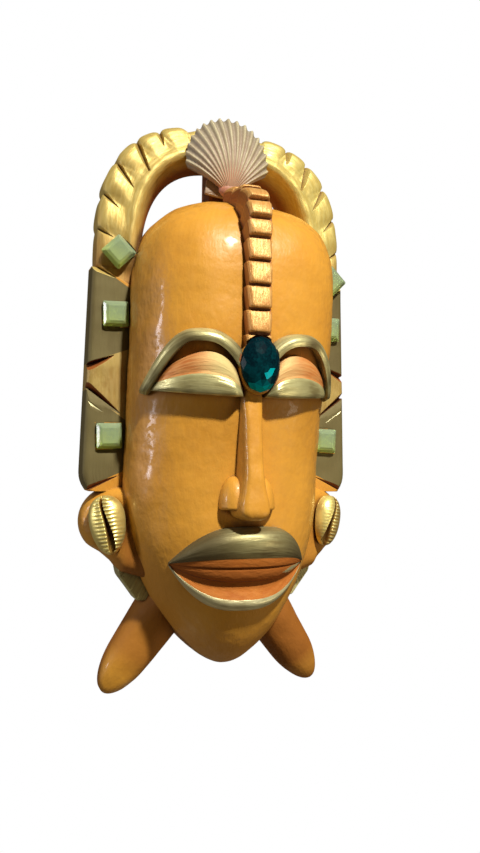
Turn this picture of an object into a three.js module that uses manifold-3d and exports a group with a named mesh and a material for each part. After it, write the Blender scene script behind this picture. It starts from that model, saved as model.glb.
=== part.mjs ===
// Carved and painted wooden wall mask with glued-on shells and glass gems.
// Millimetres. x runs to the mask's left ear as seen by a viewer facing it (viewer's right), y runs back into
// the wall, z up. The flat back lies in y = 0 and every front surface has a negative y. Heights below are
// measured from the line of the closed eyes; the finished group is lowered so that its origin is the hanging
// point on the back of the arch.
import * as THREE from 'three';
import Module from 'manifold-3d';

const wasm = await Module();
wasm.setup();

// Driving dimensions of the head block
const HEAD_TOP = 98.3;
const HEAD_BOTTOM = -120;
const HEAD_HALF_WIDTH = 48.2;
const HEAD_DEPTH_FOREHEAD = 60.5;
const HEAD_DEPTH_JAW = 54.5;
const FOREHEAD_ROUNDNESS = 3.1;
const CHEEK_ROUNDNESS = 2.45;
const CROWN_START = 30;
const JAW_START = -34;
const FACE_SHIFT = -1.2;
const HEAD_SHIFT = -0.3;
const HEAD_LEAN = 0.035;
const JAW_SWING = 0.022;
const HEAD_TUCK = 4;
const HEAD_TUCK_DEPTH = 26;

// The gouged hollow in the back of the head
const HOLLOW_TOP = 80;
const HOLLOW_BOTTOM = -98;
const HOLLOW_HALF_WIDTH = 34;
const HOLLOW_DEPTH = 42;

// Headdress: arch over the head, straight side panels, ear lobes, legs
const HANG_HEIGHT = 125;
const FLANGE_DEPTH = 13.5;
const ARCH_BASE = 64;
const ARCH_FOOT = 50;
const ARCH_OUTER = { halfWidth: 60.5, rise: 69.4, power: 2.8 };
const ARCH_RIDGE = { halfWidth: 46, rise: 58.8, power: 2.8 };
const ARCH_HOLE = { halfWidth: 38.2, rise: 52.5, power: 2.7 };
const RIDGE_DEPTH = 17.5;
const RIDGE_HALF_WIDTH = 2.2;
const LEAF_LENGTHS = [17.5, 16.5, 16, 14, 12.2, 13];
const LEAF_SWELLS = [0.5, 1.2, 2, 2.2, 2.3, 2.3];
const CROWN_SWELL = 1.2;
const LEAF_CUT_LENGTHS = [15.5, 9.5, 11, 14, 14.5, 8];
const LEAF_CUT_SLANT = 18;
const FOOT_CUT_SLANT = 32;
const LEAF_CUT_WIDTH = 3.4;
const LEAF_CUT_DEPTH = 5;
const PANEL_BOTTOM = -39;
const PANEL_HALF_WIDTH_TOP = 62.6;
const PANEL_FLARE = 0.028;
const PANEL_CORNER = 10;
const POST_HALF_WIDTH = 8;
const POST_DEPTH = 13;

// Face
const CREST_HALF_WIDTH = 5.2;
const CREST_HEIGHT = 6.6;
const CREST_STEP = 1.9;
const CREST_PITCH = 10.2;
const CREST_SEGMENTS = 8;
const CREST_BOTTOM = 29.5;
const BROW_PEAK_X = 23;
const BROW_TOP = 30.8;
const BROW_END = 5;
const BROW_INNER = 5.5;
const BROW_OUTER = 42.6;
const BROW_WIDTH = 5.4;
const BROW_HEIGHT = 5.6;
const LID_INNER = 4.6;
const LID_OUTER = 42;
const LID_BOTTOM = 3.2;
const LID_RISE = 17.4;
const LID_HEIGHT = 5.4;
const LIP_HALF_WIDTH = 30.4;
const LIP_CORNER_HEIGHT = -68.6;

// Ornaments
const SQUARE_GEM = 11.6;
const SQUARE_GEM_HEIGHT = 3.6;
const OVAL_GEM_HALF_WIDTH = 8.6;
const OVAL_GEM_HALF_HEIGHT = 11.7;
const OVAL_GEM_HEIGHT = 6;
const GEM_OFFSET = FACE_SHIFT + 1.3;
const GEM_SEAT = 64.4;
const GEM_CENTRE = 16.3;
const COWRIE_LENGTH = 27;
const COWRIE_WIDTH = 16.6;
const COWRIE_HEIGHT = 9;
const SCALLOP_RADIUS = 20.2;
const SCALLOP_UMBO_TO_CENTRE = 17;
const SCALLOP_RIBS = 17;
const SCALLOP_FAN = 57;
const SCALLOP_BULGE = 8.5;
const SCALLOP_THICKNESS = 1.5;
const GLUE_GAP = 0.3;

const SQUARE_GEM_PLACES = [
  { name: 'square_gem_left_top', x: -51.4, z: 70.2, seat: FLANGE_DEPTH + 1.6, turn: -45 },
  { name: 'square_gem_left_upper', x: -51.9, z: 41.9, seat: FLANGE_DEPTH, turn: -2 },
  { name: 'square_gem_left_lower', x: -53.7, z: -13.8, seat: FLANGE_DEPTH, turn: -2 },
  { name: 'square_gem_right_top', x: 55, z: 65.5, seat: FLANGE_DEPTH + 1.6, turn: 45 },
  { name: 'square_gem_right_upper', x: 54.6, z: 41.9, seat: FLANGE_DEPTH, turn: 2 },
  { name: 'square_gem_right_lower', x: 53.4, z: -13.8, seat: FLANGE_DEPTH, turn: 2 },
];
const COWRIE_PLACES = [
  { name: 'cowrie_left', side: -1, x: 53, z: -53.6, tilt: 9, size: 0.98 },
  { name: 'cowrie_right', side: 1, x: 50.9, z: -52.6, tilt: 10, size: 0.9 },
];
const COWRIE_BACK_SHARE = 0.22;
const COWRIE_SLIT_OFFSET = 1.5;
const EAR_MIDDLE = 52.5;
const EAR_DEPTH = 17.2;
const EAR_TURN = 26;

const BACK_STOCK = 3;
const SIDES = [-1, 1];

const degrees = THREE.MathUtils.degToRad;
const clamp = THREE.MathUtils.clamp;
const smooth = THREE.MathUtils.smoothstep;

// Shared solid helpers

// A solid through a row of closed rings with the same number of points, each end closed by a fan.
function loft(rings) {
  const count = rings[0].length;
  const vertices = [];
  const triangles = [];
  for (const ring of rings) {
    for (const point of ring) vertices.push(...point);
  }
  for (let row = 0; row < rings.length - 1; row += 1) {
    for (let i = 0; i < count; i += 1) {
      const next = (i + 1) % count;
      const a = row * count + i;
      const b = row * count + next;
      triangles.push(a, b, b + count, a, b + count, a + count);
    }
  }
  const closeEnd = (row, turned) => {
    const centre = [0, 1, 2].map((axis) => rings[row].reduce((sum, point) => sum + point[axis], 0) / count);
    const hub = vertices.length / 3;
    vertices.push(...centre);
    for (let i = 0; i < count; i += 1) {
      const a = row * count + i;
      const b = row * count + ((i + 1) % count);
      if (turned) triangles.push(hub, b, a);
      else triangles.push(hub, a, b);
    }
  };
  closeEnd(0, true);
  closeEnd(rings.length - 1, false);
  return solidFrom(vertices, triangles);
}

// Six times the volume that a triangle list encloses, with its sign.
function signedVolume(vertices, triangles) {
  const corner = (index) => new THREE.Vector3().fromArray(vertices, index * 3);
  let total = 0;
  for (let i = 0; i < triangles.length; i += 3) {
    const a = corner(triangles[i]);
    const b = corner(triangles[i + 1]);
    const c = corner(triangles[i + 2]);
    total += a.dot(b.cross(c));
  }
  return total;
}

function solidFrom(vertices, triangles) {
  if (signedVolume(vertices, triangles) < 0) triangles.reverse();
  return new wasm.Manifold(
    new wasm.Mesh({
      numProp: 3,
      vertProperties: new Float32Array(vertices),
      triVerts: new Uint32Array(triangles),
    }),
  );
}

function meshFrom(name, solid, colour, roughness, metalness) {
  const data = solid.getMesh();
  const geometry = new THREE.BufferGeometry();
  geometry.setAttribute('position', new THREE.BufferAttribute(new Float32Array(data.vertProperties), 3));
  geometry.setIndex(new THREE.BufferAttribute(new Uint32Array(data.triVerts), 1));
  geometry.computeVertexNormals();
  const mesh = new THREE.Mesh(geometry, new THREE.MeshStandardMaterial({ color: colour, roughness, metalness }));
  mesh.name = name;
  return mesh;
}

function join(solids) {
  return solids.reduce((whole, solid) => whole.add(solid));
}

function box(xMin, xMax, yMin, yMax, zMin, zMax) {
  const ring = (z) => [
    [xMin, yMin, z],
    [xMax, yMin, z],
    [xMax, yMax, z],
    [xMin, yMax, z],
  ];
  return loft([ring(zMin), ring(zMax)]);
}

function signedPower(value, power) {
  return Math.sign(value) * Math.abs(value) ** power;
}

// Evenly spaced numbers from first to last
function steps(first, last, count) {
  return Array.from({ length: count + 1 }, (_, i) => first + ((last - first) * i) / count);
}

// Head block

// The hand-carved head isn't quite upright: it leans over to the crown, and its jaw swings back
function headMiddle(z) {
  return HEAD_SHIFT + HEAD_LEAN * Math.max(z, JAW_START) + JAW_SWING * Math.max(JAW_START - z, 0);
}

// Half width and depth of the head at a height, how far its middle is off centre, and how boxy it is
function headSize(z) {
  const crown = clamp((z - CROWN_START) / (HEAD_TOP - CROWN_START), 0, 1);
  const jaw = clamp((JAW_START - z) / (JAW_START - HEAD_BOTTOM), 0, 1);
  const forehead = smooth(z, JAW_START, CROWN_START);
  const depth = THREE.MathUtils.lerp(HEAD_DEPTH_JAW, HEAD_DEPTH_FOREHEAD, forehead);
  return {
    middle: headMiddle(z),
    halfWidth: HEAD_HALF_WIDTH * (1 - crown ** 4.7) ** 0.5 * (1 - jaw ** 1.9) ** 0.7,
    depth: depth * (1 - crown ** 4.8) ** 0.5 * (1 - jaw ** 3) ** 0.38,
    roundness: THREE.MathUtils.lerp(CHEEK_ROUNDNESS, FOREHEAD_ROUNDNESS, smooth(z, -10, 35)),
    tuck: HEAD_TUCK * (1 - crown) * (1 - jaw),
  };
}

// The y of the head's front surface at a place on the face
function faceY(x, z) {
  const { middle, halfWidth, depth, roundness } = headSize(z);
  const across = clamp(Math.abs(x - middle) / halfWidth, 0, 1);
  return -depth * (1 - across ** roundness) ** (1 / roundness);
}

// A point that stands off the face by a height, square to it; x counts from the middle of the face
function proud(side, x, z, height) {
  const px = FACE_SHIFT + side * x;
  const slopeX = (faceY(px + 0.1, z) - faceY(px - 0.1, z)) / 0.2;
  const slopeZ = (faceY(px, z + 0.1) - faceY(px, z - 0.1)) / 0.2;
  const reach = height / Math.hypot(slopeX, 1, slopeZ);
  return [px + slopeX * reach, faceY(px, z) - reach, z + slopeZ * reach];
}

// Half of a rounded oval at one height, drawn in by the tuck where it comes near the flat back
function bowRing(z, { middle, halfWidth, depth, roundness, tuck }, back, count) {
  const front = steps(0, Math.PI, count).map((angle) => {
    const y = -depth * Math.sin(angle) ** (2 / roundness);
    const reach = halfWidth - tuck * Math.max(0, 1 + y / HEAD_TUCK_DEPTH);
    return [middle + reach * signedPower(Math.cos(angle), 2 / roundness), y, z];
  });
  return [[middle + halfWidth - tuck, back, z], ...front, [middle - halfWidth + tuck, back, z]];
}

function headBlock() {
  const middleHeight = (HEAD_TOP + HEAD_BOTTOM) / 2;
  const half = (HEAD_TOP - HEAD_BOTTOM) / 2;
  const rings = steps(-1, 1, 25).map((t) => {
    const z = middleHeight + half * Math.sin((t * Math.PI) / 2) * 0.9995;
    return bowRing(z, headSize(z), BACK_STOCK, 18);
  });
  return loft(rings);
}

function hollow() {
  const middleHeight = (HOLLOW_TOP + HOLLOW_BOTTOM) / 2;
  const half = (HOLLOW_TOP - HOLLOW_BOTTOM) / 2;
  const rings = steps(-1, 1, 8).map((t) => {
    const height = Math.sin((t * Math.PI) / 2) * 0.995;
    const size = (1 - Math.abs(height) ** 2.6) ** 0.5;
    const z = middleHeight + half * height;
    const scoop = { middle: headMiddle(z), halfWidth: HOLLOW_HALF_WIDTH * size, depth: HOLLOW_DEPTH * size };
    return bowRing(z, { ...scoop, roundness: CHEEK_ROUNDNESS, tuck: 0 }, BACK_STOCK + 4, 10);
  });
  return loft(rings);
}

// Headdress

// A point on one of the arch's curves, turned from the right foot (0) over the top to the left foot (pi)
function archPoint(curve, angle, outward = 0) {
  const height = (curve.rise + outward) * Math.sin(angle) ** (2 / curve.power);
  const reach = (curve.halfWidth + outward) * signedPower(Math.cos(angle), 2 / curve.power);
  return [reach, ARCH_BASE + height];
}

// Turn angles at given lengths along the outer curve, measured up from the foot
function archAngles(lengths) {
  const samples = 900;
  const table = [];
  let length = 0;
  let last = archPoint(ARCH_OUTER, 0);
  for (let i = 1; i <= samples; i += 1) {
    const angle = (i * Math.PI) / 2 / samples;
    const point = archPoint(ARCH_OUTER, angle);
    length += Math.hypot(point[0] - last[0], point[1] - last[1]);
    last = point;
    table.push([length, angle]);
  }
  return lengths.map((wanted) => (table.find((entry) => entry[0] >= wanted) ?? table[samples - 1])[1]);
}

// Lengths from the foot at which one leaf ends and the next begins
function leafBreaks() {
  const breaks = [0];
  for (const length of LEAF_LENGTHS) breaks.push(breaks.at(-1) + length);
  return breaks;
}

// How far a leaf swells past the notches at its ends
function leafSwell(leaf, fraction) {
  return LEAF_SWELLS[leaf] * (1 - Math.abs(2 * fraction - 1) ** 4) ** 0.6;
}

// One cross-section of the arch: rounded inner ridge, front sloping out to the leaf tips, flat back
function archRing(angle, swell, ridge, drop = 0) {
  const hole = archPoint(ARCH_HOLE, angle);
  const inner = archPoint(ARCH_RIDGE, angle, -RIDGE_HALF_WIDTH);
  const crest = archPoint(ARCH_RIDGE, angle);
  const outer = archPoint(ARCH_RIDGE, angle, RIDGE_HALF_WIDTH * 1.6);
  const edge = archPoint(ARCH_OUTER, angle, swell - 1.6);
  const side = archPoint(ARCH_OUTER, angle, swell);
  const rise = (RIDGE_DEPTH - FLANGE_DEPTH) * ridge;
  const at = ([x, z], y) => [x, y, z - drop];
  return [
    at(hole, BACK_STOCK),
    at(hole, 0),
    at([(hole[0] + inner[0]) / 2, (hole[1] + inner[1]) / 2], -(FLANGE_DEPTH + rise) * 0.6),
    at(inner, -FLANGE_DEPTH - rise * 0.75),
    at(crest, -FLANGE_DEPTH - rise),
    at(outer, -FLANGE_DEPTH - rise * 0.55),
    at(edge, -FLANGE_DEPTH + 0.6),
    at(side, -FLANGE_DEPTH + 3),
    at(side, BACK_STOCK),
  ];
}

function arch() {
  const breaks = leafBreaks();
  const fractions = [0.02, 0.12, 0.34, 0.66, 0.9];
  const stations = [];
  LEAF_LENGTHS.forEach((length, leaf) => {
    for (const fraction of fractions) {
      stations.push({ length: breaks[leaf] + fraction * length, swell: leafSwell(leaf, fraction) });
    }
  });
  const angles = archAngles(stations.map((station) => station.length));
  const ridgeAt = (length) => smooth(length, -8, 14);
  const half = stations.map((station, i) => ({ ...station, angle: angles[i] }));
  const rings = [];
  rings.push(archRing(0, 0, 0, ARCH_BASE - ARCH_FOOT));
  for (const { angle, swell, length } of half) rings.push(archRing(angle, swell, ridgeAt(length)));
  rings.push(archRing(Math.PI / 2, CROWN_SWELL, 1));
  for (const { angle, swell, length } of half.reverse()) {
    rings.push(archRing(Math.PI - angle, swell, ridgeAt(length)));
  }
  rings.push(archRing(Math.PI, 0, 0, ARCH_BASE - ARCH_FOOT));
  return loft(rings);
}

// A V-shaped groove that is widest and deepest at the outer edge and runs out on the surface.
// across is the way the sloping wall faces, in the plane of the flange.
function groove({ start, end, width, depth, surfaceStart, surfaceEnd, across }) {
  const top = -RIDGE_DEPTH - 6;
  const along = new THREE.Vector2(end[0] - start[0], end[1] - start[1]).normalize();
  const side = new THREE.Vector2(-along.y, along.x);
  if (side.dot(new THREE.Vector2(...across)) < 0) side.negate();
  const ring = (origin, surface, w, d) => {
    const spread = (w * (d - surface - top)) / Math.max(d, 0.01);
    const place = (offset, y) => [origin[0] + side.x * offset, y, origin[1] + side.y * offset];
    return [place(-0.25 * spread, top), place(0, -surface + d), place(spread, top)];
  };
  const before = [start[0] - along.x * 3, start[1] - along.y * 3];
  const growth = 1 + 3 / Math.hypot(end[0] - start[0], end[1] - start[1]);
  const rings = [
    ring(before, surfaceStart, width * growth, depth * growth),
    [
      [end[0], top, end[1]],
      [end[0] + side.x * 0.01, -surfaceEnd, end[1] + side.y * 0.01],
      [end[0] + side.x * 0.4, top, end[1] + side.y * 0.4],
    ],
  ];
  return loft(rings);
}

// The slanting cuts between the leaves, with their sloping wall on the lower leaf
function leafCuts() {
  const breaks = leafBreaks();
  const angles = archAngles(breaks);
  const cuts = [];
  for (const side of SIDES) {
    LEAF_CUT_LENGTHS.forEach((length, i) => {
      const [x, z] = archPoint(ARCH_OUTER, side < 0 ? Math.PI - angles[i] : angles[i]);
      const slant = i === 0 ? FOOT_CUT_SLANT : LEAF_CUT_SLANT;
      const turn = Math.atan2(z - ARCH_BASE, Math.abs(x)) + degrees(slant);
      const start = [x, z];
      const end = [x - side * length * Math.cos(turn), z - length * Math.sin(turn)];
      cuts.push(
        groove({
          start,
          end,
          width: LEAF_CUT_WIDTH,
          depth: LEAF_CUT_DEPTH,
          surfaceStart: FLANGE_DEPTH,
          surfaceEnd: FLANGE_DEPTH + 2.2,
          across: [side, -1],
        }),
      );
    });
  }
  return cuts;
}

// The shallow square seat that a gem is glued into
function gemSeat({ x, z, seat, turn }) {
  const reach = (SQUARE_GEM / 2 + 0.4) * Math.SQRT2;
  const corners = [45, 135, 225, 315].map((angle) => degrees(angle - turn));
  const ring = (y) => corners.map((angle) => [x + reach * Math.cos(angle), y, z + reach * Math.sin(angle)]);
  return loft([ring(-seat), ring(-RIDGE_DEPTH - 6)]);
}

function panelHalfWidth(z) {
  const corner = Math.max(0, (PANEL_BOTTOM + PANEL_CORNER - z) / PANEL_CORNER);
  return PANEL_HALF_WIDTH_TOP + (ARCH_BASE - z) * PANEL_FLARE - 3.4 * corner ** 2.5;
}

// The straight side of the headdress, with a rounded outer edge
function sidePanel(side) {
  const heights = [...steps(ARCH_BASE, PANEL_BOTTOM + PANEL_CORNER, 4), -32.5, -35.5, -37.6, PANEL_BOTTOM];
  const rings = heights.map((z) => {
    const outer = panelHalfWidth(z);
    return [
      [side * 30, BACK_STOCK, z],
      [side * outer, BACK_STOCK, z],
      [side * outer, -FLANGE_DEPTH + 3, z],
      [side * (outer - 0.8), -FLANGE_DEPTH + 1, z],
      [side * (outer - 2.6), -FLANGE_DEPTH, z],
      [side * 30, -FLANGE_DEPTH, z],
    ];
  });
  return loft(rings);
}

// The notches that part the two bronze panels, the triangle between them and the ear lobe
function panelCuts(side) {
  const cuts = [
    { start: [64.4, 18.4], end: [51.5, 23.4], width: 5.6, across: [1, -1] },
    { start: [64.4, 8.4], end: [48.5, -3.6], width: 4.2, across: [1, 1] },
    { start: [65.4, -39.6], end: [48, -31.4], width: 4.6, across: [1, 1] },
  ];
  return cuts.map(({ start, end, width, across }) =>
    groove({
      start: [side * start[0], start[1]],
      end: [side * end[0], end[1]],
      width,
      depth: 7.5,
      surfaceStart: FLANGE_DEPTH,
      surfaceEnd: FLANGE_DEPTH,
      across: [side * across[0], across[1]],
    }),
  );
}

// Ear lobe: a rounded lobe that swells forward under the cowrie
function earLobe(side) {
  const outline = [];
  for (const angle of steps(-42, 88, 13)) {
    const turn = degrees(angle);
    outline.push([46 + 19 * Math.cos(turn) ** 0.9, -53 + 16.5 * Math.sin(turn)]);
  }
  outline.push([30, -34]);
  outline.push([30, -80]);
  outline.push([47, -75.6]);
  outline.push([49.6, -72]);
  outline.push([55.5, -67]);
  const centre = [46, -54];
  const slope = Math.tan(degrees(EAR_TURN));
  const ring = (scale, height) =>
    outline.map(([x, z]) => {
      const reach = centre[0] + (x - centre[0]) * scale;
      const depth = (EAR_DEPTH - slope * (reach - EAR_MIDDLE)) * height;
      return [side * reach, -depth, centre[1] + (z - centre[1]) * scale];
    });
  return loft([
    outline.map(([x, z]) => [side * x, BACK_STOCK, z]),
    ring(1, 0.46),
    ring(0.965, 0.68),
    ring(0.9, 0.84),
    ring(0.8, 0.94),
    ring(0.6, 1),
  ]);
}

// The small bronze block between the ear lobe and the leg
function cheekBlock(side) {
  const outline = [
    [26, -64],
    [48.2, -73.8],
    [47.2, -78],
    [42.4, -84.4],
    [38.6, -89.6],
    [26, -90],
  ];
  const ring = (scale, y) => outline.map(([x, z]) => [side * (26 + (x - 26) * scale), y, z]);
  return loft([ring(1, BACK_STOCK), ring(1, -9.5), ring(0.95, -11.5)]);
}

// A splayed leg: a tapering tongue with a rounded tip and a bowed front
function leg(side) {
  const root = new THREE.Vector2(27.6, -97);
  const tip = new THREE.Vector2(52.2, -132);
  const along = tip.clone().sub(root).normalize();
  const across = new THREE.Vector2(along.y, -along.x).negate();
  const reach = root.distanceTo(tip);
  const rings = [-16, 4, 13, 20, 26, 31, 35, 38, 40.5, reach - 0.15].map((length) => {
    const rounding = Math.max(0, (length - 21) / (reach - 21));
    const end = (1 - rounding ** 2.3) ** 0.5;
    const halfWidth = (11.8 - 0.075 * length) * end;
    const depth = (17.5 - 0.17 * length) * (0.35 + 0.65 * end);
    const middle = root.clone().addScaledVector(along, length);
    const front = steps(0, Math.PI, 8).map((angle) => {
      const offset = halfWidth * signedPower(Math.cos(angle), 0.9);
      return [
        side * (middle.x + across.x * offset),
        -3 - (depth - 3) * Math.sin(angle) ** 0.85,
        middle.y + across.y * offset,
      ];
    });
    const backEdge = (offset) => [
      side * (middle.x + across.x * offset),
      BACK_STOCK,
      middle.y + across.y * offset,
    ];
    return [backEdge(halfWidth), ...front, backEdge(-halfWidth)];
  });
  return loft(rings);
}

// Face

// The head's centre line from the nose root over the crown, as points with a distance along it
function crownLine() {
  const line = [];
  let length = 0;
  for (const turn of steps(0, 1, 400)) {
    const z = 22 + (HEAD_TOP - 22) * (1 - (1 - turn) ** 3);
    const point = new THREE.Vector2(-headSize(Math.min(z, HEAD_TOP - 0.01)).depth, z);
    if (line.length > 0) length += point.distanceTo(line.at(-1).point);
    line.push({ point, length });
  }
  return line;
}

// The stepped ridge over the forehead: each block stands proudest at its lower edge
function crest() {
  const line = crownLine();
  const start = line.find((entry) => entry.point.y >= CREST_BOTTOM).length;
  const place = (length, height) => {
    const index = clamp(line.findIndex((entry) => entry.length >= start + length), 3, line.length - 4);
    const ahead = line[index + 3].point;
    const behind = line[index - 3].point;
    const tangent = ahead.clone().sub(behind).normalize();
    return line[index].point.clone().add(new THREE.Vector2(-tangent.y, tangent.x).multiplyScalar(height));
  };
  const blocks = [];
  for (let i = -1; i < CREST_SEGMENTS; i += 1) {
    const low = i * CREST_PITCH;
    const high = low + CREST_PITCH - 0.9;
    const narrow = CREST_HALF_WIDTH * 0.84;
    const rings = [
      [low, CREST_HEIGHT, narrow],
      [(low + high) / 2, CREST_HEIGHT - CREST_STEP * 0.35, CREST_HALF_WIDTH * 0.93],
      [high, CREST_HEIGHT - CREST_STEP, CREST_HALF_WIDTH],
    ].map(([length, height, halfWidth]) => {
      const top = place(length, height);
      const shoulder = place(length, height - 1.2);
      const foot = place(length, -4);
      return [
        [FACE_SHIFT - halfWidth - 0.5, foot.x, foot.y],
        [FACE_SHIFT - halfWidth - 0.3, shoulder.x, shoulder.y],
        [FACE_SHIFT - halfWidth + 0.7, top.x, top.y],
        [FACE_SHIFT + halfWidth - 0.7, top.x, top.y],
        [FACE_SHIFT + halfWidth + 0.3, shoulder.x, shoulder.y],
        [FACE_SHIFT + halfWidth + 0.5, foot.x, foot.y],
      ];
    });
    blocks.push(loft(rings));
  }
  const bedRings = steps(-CREST_PITCH, CREST_PITCH * CREST_SEGMENTS - 1, 14).map((length) => {
    const top = place(length, CREST_HEIGHT - CREST_STEP - 0.9);
    const foot = place(length, -4);
    const halfWidth = CREST_HALF_WIDTH - 0.6;
    return [
      [FACE_SHIFT - halfWidth, foot.x, foot.y],
      [FACE_SHIFT - halfWidth, top.x, top.y],
      [FACE_SHIFT + halfWidth, top.x, top.y],
      [FACE_SHIFT + halfWidth, foot.x, foot.y],
    ];
  });
  blocks.push(loft(bedRings));
  return join(blocks);
}

// The raised pad between the eyes that the oval gem is glued to
function gemPad() {
  const rings = [
    [-54, 1.02],
    [1.6 - GEM_SEAT, 1],
    [-GEM_SEAT, 0.9],
  ].map(([y, scale]) =>
    steps(0, 360 - 22.5, 15).map((angle) => [
      GEM_OFFSET + OVAL_GEM_HALF_WIDTH * scale * Math.cos(degrees(angle)),
      y,
      GEM_CENTRE - 0.9 + OVAL_GEM_HALF_HEIGHT * scale * Math.sin(degrees(angle)),
    ]),
  );
  return loft(rings);
}

// The oval seat in the pad, the brow ends and the crest that the oval gem is glued into
function ovalSeat() {
  const ring = (y) =>
    steps(0, 360 - 18, 19).map((angle) => [
      GEM_OFFSET + (OVAL_GEM_HALF_WIDTH + 0.6) * Math.cos(degrees(angle)),
      y,
      GEM_CENTRE + (OVAL_GEM_HALF_HEIGHT + 0.6) * Math.sin(degrees(angle)),
    ]);
  return loft([ring(-GEM_SEAT), ring(-GEM_SEAT - OVAL_GEM_HEIGHT - 4)]);
}

// Height of a brow's upper edge over its run
function browTop(x) {
  const span = x > BROW_PEAK_X ? BROW_OUTER - BROW_PEAK_X : 27;
  const run = Math.min(1, Math.abs(x - BROW_PEAK_X) / span);
  return BROW_END + (BROW_TOP - BROW_END) * (1 - run ** 2.6);
}

// A brow: a crescent ridge with a sharp lower edge over the eye
function brow(side) {
  const rings = steps(0, 1, 15).map((t) => {
    const x = BROW_INNER + (BROW_OUTER - BROW_INNER) * (1 - (1 - t) ** 1.5);
    const top = browTop(x);
    const slope = (browTop(x + 0.2) - browTop(x - 0.2)) / 0.4;
    const lean = 1 / Math.hypot(1, slope);
    const normal = [-slope * lean, lean];
    const point = (down, height) => proud(side, x - normal[0] * down, top - normal[1] * down, height);
    const width = BROW_WIDTH * (0.5 + 0.5 * (1 - t ** 4) ** 0.6);
    const height = BROW_HEIGHT * (0.55 + 0.45 * (1 - t ** 5) ** 0.5);
    return [
      point(-0.4, -3),
      point(0, 0.3 * height),
      point(width * 0.3, 0.82 * height),
      point(width * 0.62, height),
      point(width, 0.86 * height),
      point(width * 0.86, -3),
    ];
  });
  return loft(rings);
}

function lidBottom(t) {
  return LID_BOTTOM + 2.4 * t ** 1.4;
}

function lidArch(t) {
  return LID_RISE * Math.sin(Math.PI * t ** 0.72) ** 0.75;
}

// A closed eyelid: a D-shaped dome with a band along its overhanging lower edge
function lid(side) {
  const rings = steps(0.006, 0.994, 15).map((t) => {
    const x = LID_INNER + (LID_OUTER - LID_INNER) * t;
    const low = lidBottom(t);
    const rise = lidArch(t);
    const swell = (1 - Math.abs(2 * t - 1) ** 3) ** 0.5 * 0.72 + 0.28;
    const point = (fraction, height) => proud(side, x, low + rise * fraction, height * swell);
    return [
      point(-0.01, -4),
      point(0, LID_HEIGHT * 0.86),
      point(0.1, LID_HEIGHT),
      point(0.3, LID_HEIGHT),
      point(0.5, LID_HEIGHT * 0.86),
      point(0.54, LID_HEIGHT * 0.72),
      point(0.76, LID_HEIGHT * 0.62),
      point(1, LID_HEIGHT * 0.2),
      point(1.02, -4),
    ];
  });
  return loft(rings);
}

// Long straight nose: a bar with flat sides that swells into a rounded tip
function nose() {
  const stations = [
    { z: 8, half: 4.4, front: 61.6 },
    { z: 1, half: 4.3, front: 62.4 },
    { z: -9, half: 4, front: 63.7 },
    { z: -20, half: 3.9, front: 65.2 },
    { z: -30, half: 4.1, front: 67.4 },
    { z: -37, half: 4.9, front: 69 },
    { z: -42, half: 5.8, front: 70.3 },
    { z: -45.4, half: 5.9, front: 70.6 },
    { z: -47.4, half: 5, front: 69.8 },
    { z: -48.6, half: 3.3, front: 67.6 },
    { z: -48.9, half: 1.6, front: 65 },
  ];
  const rings = stations.map(({ z, half, front }) => [
    [FACE_SHIFT - half - 1.6, -46, z],
    [FACE_SHIFT - half - 0.6, -front + 6, z],
    [FACE_SHIFT - half, -front + 2.2, z],
    [FACE_SHIFT - half * 0.62, -front + 0.4, z],
    [FACE_SHIFT, -front, z],
    [FACE_SHIFT + half * 0.62, -front + 0.4, z],
    [FACE_SHIFT + half, -front + 2.2, z],
    [FACE_SHIFT + half + 0.6, -front + 6, z],
    [FACE_SHIFT + half + 1.6, -46, z],
  ]);
  return loft(rings);
}

// A nostril wing: a quarter dome beside the tip, cut flat below
function nostril(side) {
  const rings = [-44.6, -43.8, -41, -37.5, -34, -30.8].map((z) => {
    const level = clamp((z + 44.6) / 14.2, 0, 1);
    const size = (1 - level ** 2.4) ** 0.5 * (z < -44 ? 0.9 : 1) + 0.02;
    return steps(0, 315, 7).map((angle) => [
      FACE_SHIFT + side * (5.6 + 6.6 * size * Math.cos(degrees(angle))),
      -54 - 8.4 * size * Math.sin(degrees(angle)),
      z,
    ]);
  });
  return loft(rings);
}

// The mouth as one carved form. Each entry of the middle profile is a height below the corner line and a
// height above the face: the upper lip, the parting with its slit, the cupped lower lip and its rim.
function mouth() {
  const profile = [
    { down: -17, out: -3, edge: 'upper' },
    { down: -16.6, out: 0.6, edge: 'upper' },
    { down: -14.4, out: 4.2, edge: 'upper' },
    { down: -11.2, out: 6.6, edge: 'upper' },
    { down: -7, out: 7, edge: 'upper' },
    { down: -4.2, out: 6, edge: 'upper' },
    { down: -2.4, out: 3.4, edge: 'upper' },
    { down: -0.4, out: 2.2, edge: 'upper' },
    { down: 0.1, out: 0.4, edge: 'lower' },
    { down: 0.9, out: 2.4, edge: 'lower' },
    { down: 6.4, out: 1.4, edge: 'lower' },
    { down: 7, out: 0, edge: 'lower' },
    { down: 14.2, out: 4, edge: 'lower' },
    { down: 15.8, out: 4.9, edge: 'lower' },
    { down: 18, out: 4.6, edge: 'lower' },
    { down: 19.6, out: 2, edge: 'lower' },
    { down: 19.8, out: -3, edge: 'lower' },
  ];
  const rings = steps(-1, 1, 18).map((t) => {
    const across = Math.sin((t * Math.PI) / 2);
    const x = FACE_SHIFT + LIP_HALF_WIDTH * across;
    const bow = 0.04 + 0.96 * (1 - Math.abs(across) ** 3.2);
    const cup = 0.04 + 0.96 * (1 - Math.abs(across) ** 2.7);
    const lift = 0.25 + 0.75 * (1 - Math.abs(across) ** 2.5);
    return profile.map(({ down, out, edge }) => {
      const z = LIP_CORNER_HEIGHT - down * (edge === 'upper' ? bow : cup);
      const height = out > 0 ? out * lift : out;
      return [x, faceY(x, z) - height, z];
    });
  });
  return loft(rings);
}

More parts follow.
